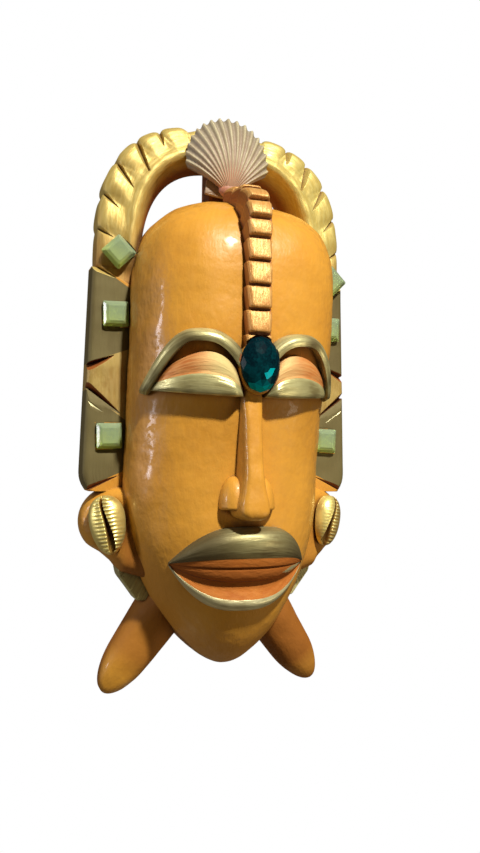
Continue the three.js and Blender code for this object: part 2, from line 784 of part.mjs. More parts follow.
function carvedMask() {
  const pieces = [headBlock(), crest(), gemPad(), nose(), mouth()];
  pieces.push(box(-POST_HALF_WIDTH, POST_HALF_WIDTH, -POST_DEPTH, BACK_STOCK, HEAD_TOP - 12, ARCH_BASE + 56));
  const cuts = [];
  for (const side of SIDES) {
    pieces.push(earLobe(side), cheekBlock(side), leg(side), brow(side), lid(side), nostril(side));
    cuts.push(...panelCuts(side));
  }
  const headdress = join([arch(), ...SIDES.map(sidePanel)]).subtract(join([...leafCuts(), ...cuts]));
  const seats = [...SQUARE_GEM_PLACES.map(gemSeat), ovalSeat()];
  const whole = join([headdress, ...pieces]).subtract(join(seats));
  return whole.subtract(hollow()).subtract(box(-90, 90, 0, 30, -150, 150));
}

// Ornaments

// A square cut gem with a bevelled crown, on its back in the x-z plane and facing forward
function squareGem() {
  const ring = (half, y) => [
    [-half, y, -half],
    [half, y, -half],
    [half, y, half],
    [-half, y, half],
  ];
  const half = SQUARE_GEM / 2;
  return loft([
    ring(half - 0.4, 0),
    ring(half, -0.6),
    ring(half, -1.4),
    ring(half * 0.78, -SQUARE_GEM_HEIGHT * 0.8),
    ring(half * 0.6, -SQUARE_GEM_HEIGHT),
  ]);
}

// The large oval gem with facets in three rows around a small table
function ovalGem() {
  const ring = (scale, y, turn) =>
    steps(0, 360 - 30, 11).map((angle) => [
      OVAL_GEM_HALF_WIDTH * scale * Math.cos(degrees(angle + turn)),
      y,
      OVAL_GEM_HALF_HEIGHT * scale * Math.sin(degrees(angle + turn)),
    ]);
  return loft([
    ring(0.96, 0, 0),
    ring(1, -1, 0),
    ring(0.86, -OVAL_GEM_HEIGHT * 0.55, 15),
    ring(0.6, -OVAL_GEM_HEIGHT * 0.86, 0),
    ring(0.32, -OVAL_GEM_HEIGHT, 15),
  ]);
}

// A cowrie shell, back down, with its toothed slit to the front
function cowrie() {
  const rows = steps(-1, 1, 10).map((t) => {
    const along = Math.sin((t * Math.PI) / 2) * 0.995;
    const size = (1 - Math.abs(along) ** 2.3) ** 0.5;
    const halfWidth = (COWRIE_WIDTH / 2) * size * (1 + 0.1 * along);
    const height = COWRIE_HEIGHT * (0.25 + 0.75 * size);
    return steps(0, 324, 9).map((angle) => {
      const lift = Math.sin(degrees(angle));
      const share = lift > 0 ? 1 - COWRIE_BACK_SHARE : COWRIE_BACK_SHARE;
      return [halfWidth * Math.cos(degrees(angle)), -lift * height * share, (COWRIE_LENGTH / 2) * along];
    });
  });
  const slitRings = steps(-1, 1, 6).map((t) => {
    const half = 0.5 + 0.75 * (1 - t * t);
    const z = t * COWRIE_LENGTH * 0.44;
    const bend = COWRIE_SLIT_OFFSET + 0.7 * Math.cos(t * 2.4);
    return [
      [bend - half, -COWRIE_HEIGHT, z],
      [bend + half, -COWRIE_HEIGHT, z],
      [bend, -COWRIE_HEIGHT * 0.42, z],
    ];
  });
  return loft(rows).subtract(loft(slitRings));
}

// Distance from the hinge to the rim of the scallop in a direction from its middle rib
function scallopReach(angle) {
  const offset = SCALLOP_UMBO_TO_CENTRE;
  return offset * Math.cos(angle) + Math.sqrt(SCALLOP_RADIUS ** 2 - (offset * Math.sin(angle)) ** 2);
}

// The scallop: a ribbed fan, thin and bulging forward, with its hinge at the bottom
function scallop() {
  const columns = SCALLOP_RIBS * 2;
  const rows = 5;
  const point = (i, j, inner) => {
    const angle = degrees(-SCALLOP_FAN + (2 * SCALLOP_FAN * i) / columns);
    const ridge = i % 2 === 1 ? 1 : 0;
    const out = 0.07 + 0.93 * (j / rows);
    const reach = scallopReach(angle) * (ridge ? 1.02 : 0.985);
    const along = reach * out - (inner ? SCALLOP_THICKNESS * (j === rows ? 0.3 : 0.5) : 0);
    const round = Math.cos(angle * 0.95) ** 0.7;
    const bulge = SCALLOP_BULGE * round * Math.sin(Math.PI * (0.28 + 0.72 * out) ** 1.15) ** 0.85;
    const ribs = ridge * 0.75 * out;
    const height = Math.max(bulge + ribs, 0) + SCALLOP_THICKNESS;
    return [
      along * Math.sin(angle),
      inner ? -Math.max(bulge - 0.2 + ribs * 0.4, 0) : -height,
      along * Math.cos(angle),
    ];
  };
  const vertices = [];
  const triangles = [];
  const index = (i, j, inner) => (inner ? (columns + 1) * (rows + 1) : 0) + j * (columns + 1) + i;
  for (const inner of [false, true]) {
    for (let j = 0; j <= rows; j += 1) {
      for (let i = 0; i <= columns; i += 1) vertices.push(...point(i, j, inner));
    }
  }
  const quad = (a, b, c, d) => triangles.push(a, b, c, a, c, d);
  for (let j = 0; j < rows; j += 1) {
    for (let i = 0; i < columns; i += 1) {
      quad(index(i, j, false), index(i + 1, j, false), index(i + 1, j + 1, false), index(i, j + 1, false));
      quad(index(i, j, true), index(i, j + 1, true), index(i + 1, j + 1, true), index(i + 1, j, true));
    }
  }
  for (let i = 0; i < columns; i += 1) {
    quad(index(i, 0, true), index(i + 1, 0, true), index(i + 1, 0, false), index(i, 0, false));
    quad(index(i, rows, false), index(i + 1, rows, false), index(i + 1, rows, true), index(i, rows, true));
  }
  for (let j = 0; j < rows; j += 1) {
    quad(index(0, j, false), index(0, j + 1, false), index(0, j + 1, true), index(0, j, true));
    quad(index(columns, j, true), index(columns, j + 1, true), index(columns, j + 1, false), index(columns, j, false));
  }
  return solidFrom(vertices, triangles).add(scallopHinge());
}

// The swollen hinge with its two small triangular ears
function scallopHinge() {
  const ears = [
    [-11.5, 0.2],
    [-10.4, 7.6],
    [-4, 5.6],
    [4, 5.6],
    [10.4, 7.6],
    [11.5, 0.2],
    [3, -1],
    [-3, -1],
  ];
  const plate = loft([-2.2, -3.8].map((y) => ears.map(([x, z]) => [x, y, z])));
  const knob = loft(
    steps(-1, 1, 5).map((t) => {
      const size = (1 - Math.abs(t * 0.98) ** 2) ** 0.5;
      return steps(0, 324, 9).map((angle) => [
        5.2 * size * Math.cos(degrees(angle)),
        -5.4 - 3.2 * size * Math.sin(degrees(angle)),
        2.6 + 4 * t,
      ]);
    }),
  );
  return plate.add(knob);
}

// Assembly

const PAINT = { colour: 0xd99a3c, roughness: 0.42, metalness: 0 };
const PALE_GLASS = { colour: 0xa8c490, roughness: 0.08, metalness: 0 };
const TEAL_GLASS = { colour: 0x04606a, roughness: 0.06, metalness: 0 };
const GOLD_SHELL = { colour: 0xc9a55c, roughness: 0.35, metalness: 0.5 };
const PINK_SHELL = { colour: 0xcbb39a, roughness: 0.5, metalness: 0 };

function finish(name, solid, look) {
  return meshFrom(name, solid, look.colour, look.roughness, look.metalness);
}

const mask = new THREE.Group();
mask.position.set(0, 0, -HANG_HEIGHT);
mask.add(finish('carved_mask', carvedMask(), PAINT));

for (const { name, x, z, seat, turn } of SQUARE_GEM_PLACES) {
  const gem = finish(name, squareGem(), PALE_GLASS);
  gem.position.set(x, -seat - GLUE_GAP, z);
  gem.rotation.y = degrees(turn);
  mask.add(gem);
}

for (const { name, side, x, z, tilt, size } of COWRIE_PLACES) {
  const shell = finish(name, cowrie().scale(size), GOLD_SHELL);
  const turn = degrees(side * EAR_TURN);
  const stand = COWRIE_HEIGHT * COWRIE_BACK_SHARE * size + GLUE_GAP;
  const depth = EAR_DEPTH - Math.tan(degrees(EAR_TURN)) * (x - EAR_MIDDLE);
  shell.position.set(side * x + stand * Math.sin(turn), -depth - stand * Math.cos(turn), z);
  shell.rotation.set(0, degrees(side * tilt), turn, 'ZYX');
  mask.add(shell);
}

const ovalStone = finish('oval_gem', ovalGem(), TEAL_GLASS);
ovalStone.position.set(GEM_OFFSET, -GEM_SEAT - GLUE_GAP, GEM_CENTRE);
mask.add(ovalStone);

const fan = finish('scallop_shell', scallop(), PINK_SHELL);
fan.position.set(-1.2, -RIDGE_DEPTH - GLUE_GAP, 100);
mask.add(fan);

export default mask;
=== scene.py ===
"""Looks of a tall carved and painted wall mask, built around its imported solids.

Every length is in millimetres until a mesh is made. x runs to the viewer's right, y back into the wall and
z up. Heights are measured from the line of the closed eyes, and a mesh is lowered by HANG_HEIGHT and turned
into metres when it is made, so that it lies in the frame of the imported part. The mask's flat back is y = 0.
"""

from __future__ import annotations

import logging
import math
from dataclasses import dataclass
from enum import Enum

import bpy
import numpy as np
from mathutils import Matrix

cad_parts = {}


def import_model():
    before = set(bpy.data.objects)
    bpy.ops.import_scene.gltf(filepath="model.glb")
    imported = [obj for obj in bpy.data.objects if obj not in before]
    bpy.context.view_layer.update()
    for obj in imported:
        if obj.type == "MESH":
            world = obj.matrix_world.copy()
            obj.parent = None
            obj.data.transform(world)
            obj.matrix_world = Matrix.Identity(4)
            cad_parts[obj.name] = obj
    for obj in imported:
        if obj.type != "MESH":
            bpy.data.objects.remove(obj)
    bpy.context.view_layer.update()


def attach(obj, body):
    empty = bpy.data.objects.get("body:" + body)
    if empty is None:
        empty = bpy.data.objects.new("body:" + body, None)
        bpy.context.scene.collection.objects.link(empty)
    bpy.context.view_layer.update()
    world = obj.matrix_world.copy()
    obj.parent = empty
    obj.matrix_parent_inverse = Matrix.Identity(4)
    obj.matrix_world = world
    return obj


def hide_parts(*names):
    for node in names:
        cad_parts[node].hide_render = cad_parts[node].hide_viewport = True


LOG = logging.getLogger("wall_mask")
Array = np.ndarray
Colour = tuple[float, float, float]
Place = tuple[float, float, float]
Object = bpy.types.Object
Material = bpy.types.Material
Node = bpy.types.Node
NodeTree = bpy.types.NodeTree
Socket = bpy.types.NodeSocket

METRES = 0.001
HANG_HEIGHT = 125.0
BACK_STOCK = 3.0
FACE_SHIFT = -1.2
FLANGE_DEPTH = 13.5
RIDGE_DEPTH = 17.5
ARCH_BASE = 64.0
GLUE_GAP = 0.3
CUTTER_TOP = -RIDGE_DEPTH - 6
SIDES = (-1.0, 1.0)
SHARP_ANGLE = math.radians(38)
WAVES = 20


class Paint(Enum):
    """The finishes on the carved wood, in the order of the mask's material slots."""

    OCHRE = 0
    GILT = 1
    BRONZE = 2
    COPPER = 3
    CREST_GOLD = 4
    UMBER = 5
    RIM_GOLD = 6
    BARE_WOOD = 7
    LIP_ORANGE = 8
    DULL_BRONZE = 9
    OLD_GOLD = 10


# Shared shapes


@dataclass
class Skin:
    """A closed surface in millimetres.

    quads and fans are its four-sided and three-sided faces. flow gives each point two lengths over the
    surface, across and along the brush strokes, tone a value from 0 to 1 that its paint reads, and paints one
    paint per face. face_tone, where it is given, takes the place of tone with one value per face.
    """

    points: Array
    quads: Array
    fans: Array
    flow: Array
    tone: Array
    paints: Array
    face_tone: Array | None = None

    def facing_out(self) -> Skin:
        """Turns the faces round where the volume, the sum of a . (b x c) over triangles, is below zero.

        Returns:
            This skin.
        """
        triangles = np.concatenate([self.quads[:, [0, 1, 2]], self.quads[:, [0, 2, 3]], self.fans])
        a, b, c = (self.points[triangles[:, i]] for i in range(3))
        if np.einsum("ij,ij->", a, np.cross(b, c)) < 0:
            self.quads = self.quads[:, ::-1]
            self.fans = self.fans[:, ::-1]
        return self


def smooth(value: Array | float, low: float, high: float) -> Array:
    """Eased step: t * t * (3 - 2 t) of the share t of the way from low to high."""
    share = np.clip((np.asarray(value, float) - low) / (high - low), 0.0, 1.0)
    return share * share * (3.0 - 2.0 * share)


def blend(low: Array | float, high: Array | float, share: Array | float) -> Array:
    """Straight mix of two values: low + (high - low) * share."""
    return low + (np.asarray(high) - low) * share


def points_of(*parts: Array | float) -> Array:
    """Points from their coordinates, each spread to one shape."""
    return np.stack(np.broadcast_arrays(*parts), axis=-1)


def there_and_back(front: Array, back: Array) -> Array:
    """Columns of the front from left to right, then those of the back from right to left."""
    return np.concatenate([front, back[:, ::-1]], axis=1)


def signed_power(value: Array, power: float) -> Array:
    """Size of the value to a power, with the value's own sign."""
    return np.sign(value) * np.abs(value) ** power


def arc(turn: Array, power: float) -> Array:
    """The sine of the turn, where it is above zero, to a power."""
    return np.maximum(np.sin(turn), 0.0) ** power


def whole_turn(count: int) -> Array:
    """Evenly spaced angles once round."""
    return np.linspace(0.0, 2 * math.pi, count, endpoint=False)


def run_length(track: Array) -> Array:
    """The summed length of a track's chords up to each of its points (n, k)."""
    return np.concatenate([[0.0], np.cumsum(np.linalg.norm(np.diff(track, axis=0), axis=1))])


def even_steps(track: Array, count: int) -> Array:
    """Fractional indices of places that lie evenly by length on a track of points, both ends among them."""
    length = run_length(track)
    return np.interp(np.linspace(0.0, length[-1], count), length, np.arange(len(track)))


def grid_normals(points: Array, centre: Array) -> Array:
    """Unit normals of a grid: the cross product of its two slopes, turned away from the centre points.

    Args:
        points: the grid (rows, columns, 3).
        centre: points inside it.

    Returns:
        The normals, one for each point.
    """
    across = np.gradient(points, axis=1)
    along = np.gradient(points, axis=0)
    normal = np.cross(across, along)
    normal /= np.maximum(np.linalg.norm(normal, axis=-1, keepdims=True), 1e-9)
    turned = np.einsum("...i,...i->...", normal, points - centre) < 0
    return np.where(turned[..., None], -normal, normal)


def ripples(points: Array, wavelength: float, seed: int) -> Array:
    """Soft irregular waves over space: a sum of WAVES cosines, scaled so that it varies by about one.

    Their directions, phases and lengths near the wavelength are drawn from the seed.

    Args:
        points: places (..., 3).
        wavelength: the usual length of a wave.
        seed: which waves are drawn.

    Returns:
        The value at each place.
    """
    rng = np.random.default_rng(seed)
    direction = rng.normal(size=(WAVES, 3))
    direction /= np.linalg.norm(direction, axis=1, keepdims=True)
    length = wavelength * rng.uniform(0.7, 1.6, WAVES)
    phase = rng.uniform(0.0, 2.0 * math.pi, WAVES)
    turn = points @ (direction * (2.0 * math.pi / length)[:, None]).T + phase
    return np.cos(turn).sum(axis=-1) * math.sqrt(2.0 / WAVES)


def smooth_span(controls: Array, per_span: int) -> Array:
    """Smooth rows through control points with no corner between them.

    Each span is a cubic whose end slopes are those of the parabola through neighbouring controls, with
    knots set apart by the square root of the mean chord.

    Args:
        controls: control points (rows, k, 3).
        per_span: new points for each span.

    Returns:
        The rows (rows, per_span * (k - 1) + 1, 3).
    """
    gaps = np.sqrt(np.linalg.norm(np.diff(controls, axis=1), axis=-1).mean(axis=0) + 1e-9)
    secant = np.diff(controls, axis=1) / gaps[None, :, None]
    if controls.shape[1] == 2:
        slopes = np.concatenate([secant, secant], axis=1)
    else:
        left, right = gaps[None, :-1, None], gaps[None, 1:, None]
        inner = (secant[:, :-1] * right + secant[:, 1:] * left) / (left + right)
        first = 1.5 * secant[:, :1] - 0.5 * inner[:, :1]
        last = 1.5 * secant[:, -1:] - 0.5 * inner[:, -1:]
        slopes = np.concatenate([first, inner, last], axis=1)
    t = np.linspace(0.0, 1.0, per_span, endpoint=False)[None, None, :, None]
    start, end = controls[:, :-1, None], controls[:, 1:, None]
    out, into = (slope[:, :, None] * gaps[None, :, None, None] for slope in (slopes[:, :-1], slopes[:, 1:]))
    curve = (
        (2 * t**3 - 3 * t**2 + 1) * start
        + (t**3 - 2 * t**2 + t) * out
        + (3 * t**2 - 2 * t**3) * end
        + (t**3 - t**2) * into
    )
    rows = curve.reshape(controls.shape[0], -1, 3)
    return np.concatenate([rows, controls[:, -1:]], axis=1)


def spline_rows(controls: Array, per_span: int, corners: tuple[int, ...] = ()) -> Array:
    """Smooth rows through control points, broken at the corners.

    Args:
        controls: control points (rows, k, 3).
        per_span: new points for each span.
        corners: the controls where the line is broken.

    Returns:
        The rows.
    """
    ends = [0, *corners, controls.shape[1] - 1]
    parts = [smooth_span(controls[:, a : b + 1], per_span) for a, b in zip(ends[:-1], ends[1:])]
    return np.concatenate([parts[0], *[part[:, 1:] for part in parts[1:]]], axis=1)


def loft(
    rings: Array,
    paint: Paint | Array = Paint.OCHRE,
    tone: Array | None = None,
    flow: Array | None = None,
) -> Skin:
    """A closed skin over a stack of closed rings, each end closed by a fan round its ring's mean point.

    Args:
        rings: points (rows, columns, 3).
        paint: one paint, or the paint value of each strip of faces between two columns.
        tone: a value for each point, or None for 1 all over.
        flow: two lengths for each point, or None for the summed mean widths across and along.

    Returns:
        The skin.
    """
    rows, columns, _ = rings.shape
    index = np.arange(rows * columns).reshape(rows, columns)
    after = np.roll(index, -1, axis=1)
    quads = points_of(index[:-1], after[:-1], after[1:], index[1:]).reshape(-1, 4)
    hub = np.full(columns, rows * columns)
    fans = np.concatenate([points_of(hub, after[0], index[0]), points_of(hub + 1, index[-1], after[-1])])
    if flow is None:
        across = np.linalg.norm(np.diff(rings, axis=1), axis=-1).mean(axis=0)
        along = np.linalg.norm(np.diff(rings, axis=0), axis=-1).mean(axis=1)
        summed = [np.concatenate([[0.0], np.cumsum(widths)]) for widths in (across, along)]
        flow = points_of(summed[0][None, :], summed[1][:, None])
    tone = np.ones((rows, columns)) if tone is None else np.broadcast_to(tone, (rows, columns))
    strips = np.broadcast_to(paint.value if isinstance(paint, Paint) else paint, (rows - 1, columns))

    def with_hubs(values: Array) -> Array:
        """The ring values as a list, with the mean of each end ring after them."""
        flat = values.reshape(rows * columns, -1)
        return np.concatenate([flat, values[[0, -1]].reshape(2, columns, -1).mean(axis=1)])

    return Skin(
        points=with_hubs(rings),
        quads=quads,
        fans=fans,
        flow=with_hubs(np.asarray(flow)),
        tone=with_hubs(tone)[:, 0],
        paints=np.concatenate([strips.reshape(-1), strips[0], strips[-1]]),
    ).facing_out()


def prism(outline: Array, depths: tuple[float, ...], scales: tuple[float, ...] | None = None) -> Array:
    """Rings of one outline at several depths, each scaled about the mean of the outline.

    Args:
        outline: points (n, 2) in x and z.
        depths: the y of each ring.
        scales: the size of each ring, or None for 1.

    Returns:
        The rings (rows, n, 3).
    """
    centre = outline.mean(axis=0)
    sizes = scales or (1.0,) * len(depths)
    flat = [centre + (outline - centre) * size for size in sizes]
    return np.stack([points_of(p[:, 0], y, p[:, 1]) for p, y in zip(flat, depths)])


def softened(outline: Array, step: float, reach: int) -> Array:
    """An outline (n, 2) with evenly spaced points and rounded corners.

    Args:
        outline: corner points of a closed line.
        step: distance between the new points.
        reach: points on each side that are averaged to round a corner.

    Returns:
        The new outline (m, 2).
    """
    closed = np.concatenate([outline, outline[:1]])
    place = even_steps(closed, int(run_length(closed)[-1] / step) + 1)[:-1]
    line = np.stack([np.interp(place, np.arange(len(closed)), closed[:, k]) for k in range(2)], axis=-1)
    return sum(np.roll(line, shift, axis=0) for shift in range(-reach, reach + 1)) / (2 * reach + 1)


# Meshes and cutting


def make_object(name: str, skin: Skin, materials: list[Material]) -> Object:
    """Puts a skin into a mesh object at the origin, in metres and lowered to the hanging point.

    Args:
        name: the object's name.
        skin: the closed surface.
        materials: the material slots that its paint values point to.

    Returns:
        The object.
    """
    mesh = bpy.data.meshes.new(name)
    points = (skin.points - [0.0, 0.0, HANG_HEIGHT]) * METRES
    corners = np.concatenate([skin.quads.reshape(-1), skin.fans.reshape(-1)]).astype(np.int32)
    quads, fans = len(skin.quads), len(skin.fans)
    starts = np.concatenate([np.arange(quads) * 4, quads * 4 + np.arange(fans) * 3]).astype(np.int32)
    mesh.vertices.add(len(points))
    mesh.vertices.foreach_set("co", points.astype(np.float32).reshape(-1))
    mesh.loops.add(len(corners))
    mesh.loops.foreach_set("vertex_index", corners)
    mesh.polygons.add(len(starts))
    mesh.polygons.foreach_set("loop_start", starts)
    mesh.polygons.foreach_set("material_index", skin.paints.astype(np.int32))
    mesh.update(calc_edges=True)
    flow = mesh.uv_layers.new(name="flow")
    flow.data.foreach_set("uv", (skin.flow[corners] * METRES).astype(np.float32).reshape(-1))
    if skin.face_tone is None:
        tones = skin.tone[corners]
    else:
        tones = np.repeat(skin.face_tone, np.concatenate([np.full(quads, 4), np.full(fans, 3)]))
    tone = mesh.attributes.new("tone", "FLOAT", "CORNER")
    tone.data.foreach_set("value", tones.astype(np.float32))
    for material in materials:
        mesh.materials.append(material)
    made = bpy.data.objects.new(name, mesh)
    bpy.context.scene.collection.objects.link(made)
    return made


def carve(base: Object, operation: str, tools: list[Object]) -> Object:
    """Joins the tools to the base, or cuts them out of it, and removes them.

    Args:
        base: the object that keeps the result.
        operation: UNION or DIFFERENCE.
        tools: closed objects.

    Returns:
        The base.
    """
    shelf = bpy.data.collections.new("tools")
    bpy.context.scene.collection.children.link(shelf)
    for tool in tools:
        bpy.context.scene.collection.objects.unlink(tool)
        shelf.objects.link(tool)
    step = base.modifiers.new("carve", "BOOLEAN")
    step.operand_type = "COLLECTION"
    step.collection = shelf
    step.operation = operation
    step.solver = "MANIFOLD"
    step.material_mode = "TRANSFER"
    graph = bpy.context.evaluated_depsgraph_get()
    result = bpy.data.meshes.new_from_object(base.evaluated_get(graph), depsgraph=graph)
    base.modifiers.remove(step)
    old = base.data
    base.data = result
    bpy.data.meshes.remove(old)
    for tool in tools:
        mesh = tool.data
        bpy.data.objects.remove(tool)
        bpy.data.meshes.remove(mesh)
    bpy.data.collections.remove(shelf)
    result.name = base.name
    return base


def shade(piece: Object, angle: float = SHARP_ANGLE) -> Object:
    """Smooth shading with sharp edges.

    Args:
        piece: a mesh object.
        angle: faces that meet at more than this keep a sharp edge.

    Returns:
        The piece.
    """
    piece.data.shade_smooth()
    piece.data.set_sharp_from_angle(angle=angle)
    return piece


def facet(piece: Object) -> Object:
    """Flat shading, face by face."""
    piece.data.shade_flat()
    return piece


def dress(piece: Object, node: str) -> None:
    """Sets a finished piece in the place of its solid, on the one body.

    Args:
        piece: the finished piece.
        node: the solid that it stands for.
    """
    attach(piece, "root")
    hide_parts(node)
    faces = len(piece.data.polygons)
    triangles = len(piece.data.loops) - 2 * faces
    LOG.info("%s stands for %s: %d faces, %d triangles", piece.name, node, faces, triangles)


# Head and its hollow


@dataclass(frozen=True)
class Head:
    """The head block: a rounded bow in every level cut, with its back left open as a gouged hollow."""

    top: float = 98.3
    bottom: float = -120.0
    half_width: float = 48.2
    depth_forehead: float = 60.5
    depth_jaw: float = 54.5
    forehead_roundness: float = 3.1
    cheek_roundness: float = 2.45
    crown_start: float = 30.0
    jaw_start: float = -34.0
    tuck_depth: float = 26.0
    rows: int = 190
    columns: int = 150
    hand_waviness: float = 0.13
    hollow_middle: float = -9.0
    hollow_half_height: float = 89.0
    hollow_half_width: float = 34.0
    hollow_depth: float = 42.0

    def middle(self, z: Array) -> Array:
        """Middle of the head at a height: it leans over to the crown and swings back to the chin."""
        z = np.asarray(z, float)
        return -0.3 + 0.035 * np.maximum(z, self.jaw_start) + 0.022 * np.maximum(self.jaw_start - z, 0.0)

    def size(self, z: Array) -> tuple[Array, Array, Array, Array]:
        """Half width, depth, roundness and flank tuck at a height.

        Width and depth fall away as (1 - share ** power) ** power towards the crown and the jaw.

        Args:
            z: heights.

        Returns:
            The four values at each height.
        """
        crown = np.clip((z - self.crown_start) / (self.top - self.crown_start), 0.0, 1.0)
        jaw = np.clip((self.jaw_start - z) / (self.jaw_start - self.bottom), 0.0, 1.0)
        depth = blend(self.depth_jaw, self.depth_forehead, smooth(z, self.jaw_start, self.crown_start))
        half_width = self.half_width * (1 - crown**4.7) ** 0.5 * (1 - jaw**1.9) ** 0.7
        depth = depth * (1 - crown**4.8) ** 0.5 * (1 - jaw**3) ** 0.38
        roundness = blend(self.cheek_roundness, self.forehead_roundness, smooth(z, -10, 35))
        return half_width, depth, roundness, 4.0 * (1 - crown) * (1 - jaw)

    def front(self, x: Array, z: Array) -> Array:
        """The y of the face: -depth * (1 - across ** roundness) ** (1 / roundness).

        Args:
            x, z: places on the face.

        Returns:
            The y at each place.
        """
        half_width, depth, roundness, _ = self.size(z)
        across = np.clip(np.abs(x - self.middle(z)) / half_width, 0.0, 1.0)
        return -depth * (1 - across**roundness) ** (1 / roundness)

    def proud(self, side: float, x: Array, z: Array, height: Array) -> Array:
        """Points that stand off the face, square to it.

        Args:
            side: -1 on the left, 1 on the right.
            x: distances from the middle of the face.
            z, height: where each point is and how far it stands off.

        Returns:
            The points (..., 3).
        """
        px, z, height = np.broadcast_arrays(FACE_SHIFT + side * x, z, height)
        slope_x = (self.front(px + 0.1, z) - self.front(px - 0.1, z)) / 0.2
        slope_z = (self.front(px, z + 0.1) - self.front(px, z - 0.1)) / 0.2
        reach = height / np.sqrt(slope_x**2 + 1 + slope_z**2)
        return points_of(px + slope_x * reach, self.front(px, z) - reach, z + slope_z * reach)

    def bow(self, z: Array, angles: Array, size: tuple[Array, Array, Array, Array], back: float) -> Array:
        """Rings of the bow: x from cos and y from sin of the angle, each to the power 2 / roundness.

        The flank is drawn in by the tuck towards the back, and each ring ends in two points at the back.

        Args:
            z: the height of each ring.
            angles: where its points are, from right to left.
            size: half width, depth, roundness and tuck.
            back: the y of the two points at the back.

        Returns:
            The rings.
        """
        half_width, depth, roundness, tuck = (np.broadcast_to(value, z.shape)[:, None] for value in size)
        power = 2 / roundness
        y = -depth * np.sin(angles)[None, :] ** power
        reach = half_width - tuck * np.maximum(0.0, 1 + y / self.tuck_depth)
        cosine = np.cos(angles)[None, :]
        x = self.middle(z)[:, None] + reach * np.sign(cosine) * np.abs(cosine) ** power
        front = points_of(x, y, z[:, None])
        first, last = front[:, :1].copy(), front[:, -1:].copy()
        first[..., 1] = last[..., 1] = back
        return np.concatenate([first, front, last], axis=1)

    def block(self) -> Skin:
        """The outside of the head, lightly waved as a knife leaves it.

        Returns:
            The skin.
        """
        dense = np.linspace(0.0, math.pi, 2001)
        bow = points_of(48 * signed_power(np.cos(dense), 2 / 2.8), 58 * arc(dense, 2 / 2.8))
        angles = np.interp(even_steps(bow, self.columns), np.arange(len(dense)), dense)
        tall = np.linspace(self.bottom + 0.02, self.top - 0.005, 4001)
        half_width, depth, _, _ = self.size(tall)
        profile = points_of(half_width, depth, tall)
        z = np.interp(even_steps(profile, self.rows), np.arange(len(tall)), tall)
        rings = self.bow(z, angles, self.size(z), BACK_STOCK)
        centre = points_of(self.middle(z), 0.0, np.clip(z, -60, 50))[:, None, :]
        waves = ripples(rings, 17.0, 3) + 0.25 * ripples(rings, 6.5, 4)
        lift = self.hand_waviness * waves * smooth(-rings[..., 1], 1.0, 8.0)
        rings = rings + grid_normals(rings, centre) * lift[..., None]
        return loft(rings)

    def hollow(self) -> Skin:
        """The scoop in the back, with the shallow facets of a gouge run over its wall.

        Returns:
            The skin of the cutter.
        """
        t = np.sin(np.linspace(-1, 1, 70) * math.pi / 2) * 0.995
        size = (1 - np.abs(t) ** 2.6) ** 0.5
        z = self.hollow_middle + self.hollow_half_height * t
        angles = np.linspace(0.0, math.pi, 64)
        sizes = (self.hollow_half_width * size, self.hollow_depth * size, self.cheek_roundness, 0.0)
        rings = self.bow(z, angles, sizes, BACK_STOCK + 4)
        strokes = np.abs(np.sin(angles * 9 + 0.6 * ripples(rings[:, 1:-1], 30.0, 8)))
        cut = 0.75 * (strokes - 0.5) + 0.25 * ripples(rings[:, 1:-1], 7.0, 9)
        centre = points_of(self.middle(z), 4.0, np.clip(z, -80, 60))[:, None, :]
        cut = cut * smooth(size, 0.1, 0.4)[:, None]
        inner = rings[:, 1:-1] + grid_normals(rings[:, 1:-1], centre) * cut[..., None]
        return loft(np.concatenate([rings[:, :1], inner, rings[:, -1:]], axis=1), Paint.BARE_WOOD)


# Headdress


@dataclass(frozen=True)
class ArchCurve:
    """A flattened half oval.

    x = half width * cos ** (2 / power) and z = ARCH_BASE + rise * sin ** (2 / power).
    """

    half_width: float
    rise: float
    power: float

    def point(self, angle: Array, outward: Array | float = 0.0) -> Array:
        """Points of the curve, from the right foot at angle 0 over the top to the left foot at pi.

        Args:
            angle: turns.
            outward: how far outside the curve the points lie.

        Returns:
            Points (n, 2) in x and z.
        """
        height = (self.rise + outward) * arc(angle, 2 / self.power)
        reach = (self.half_width + outward) * signed_power(np.cos(angle), 2 / self.power)
        return points_of(reach, ARCH_BASE + height)


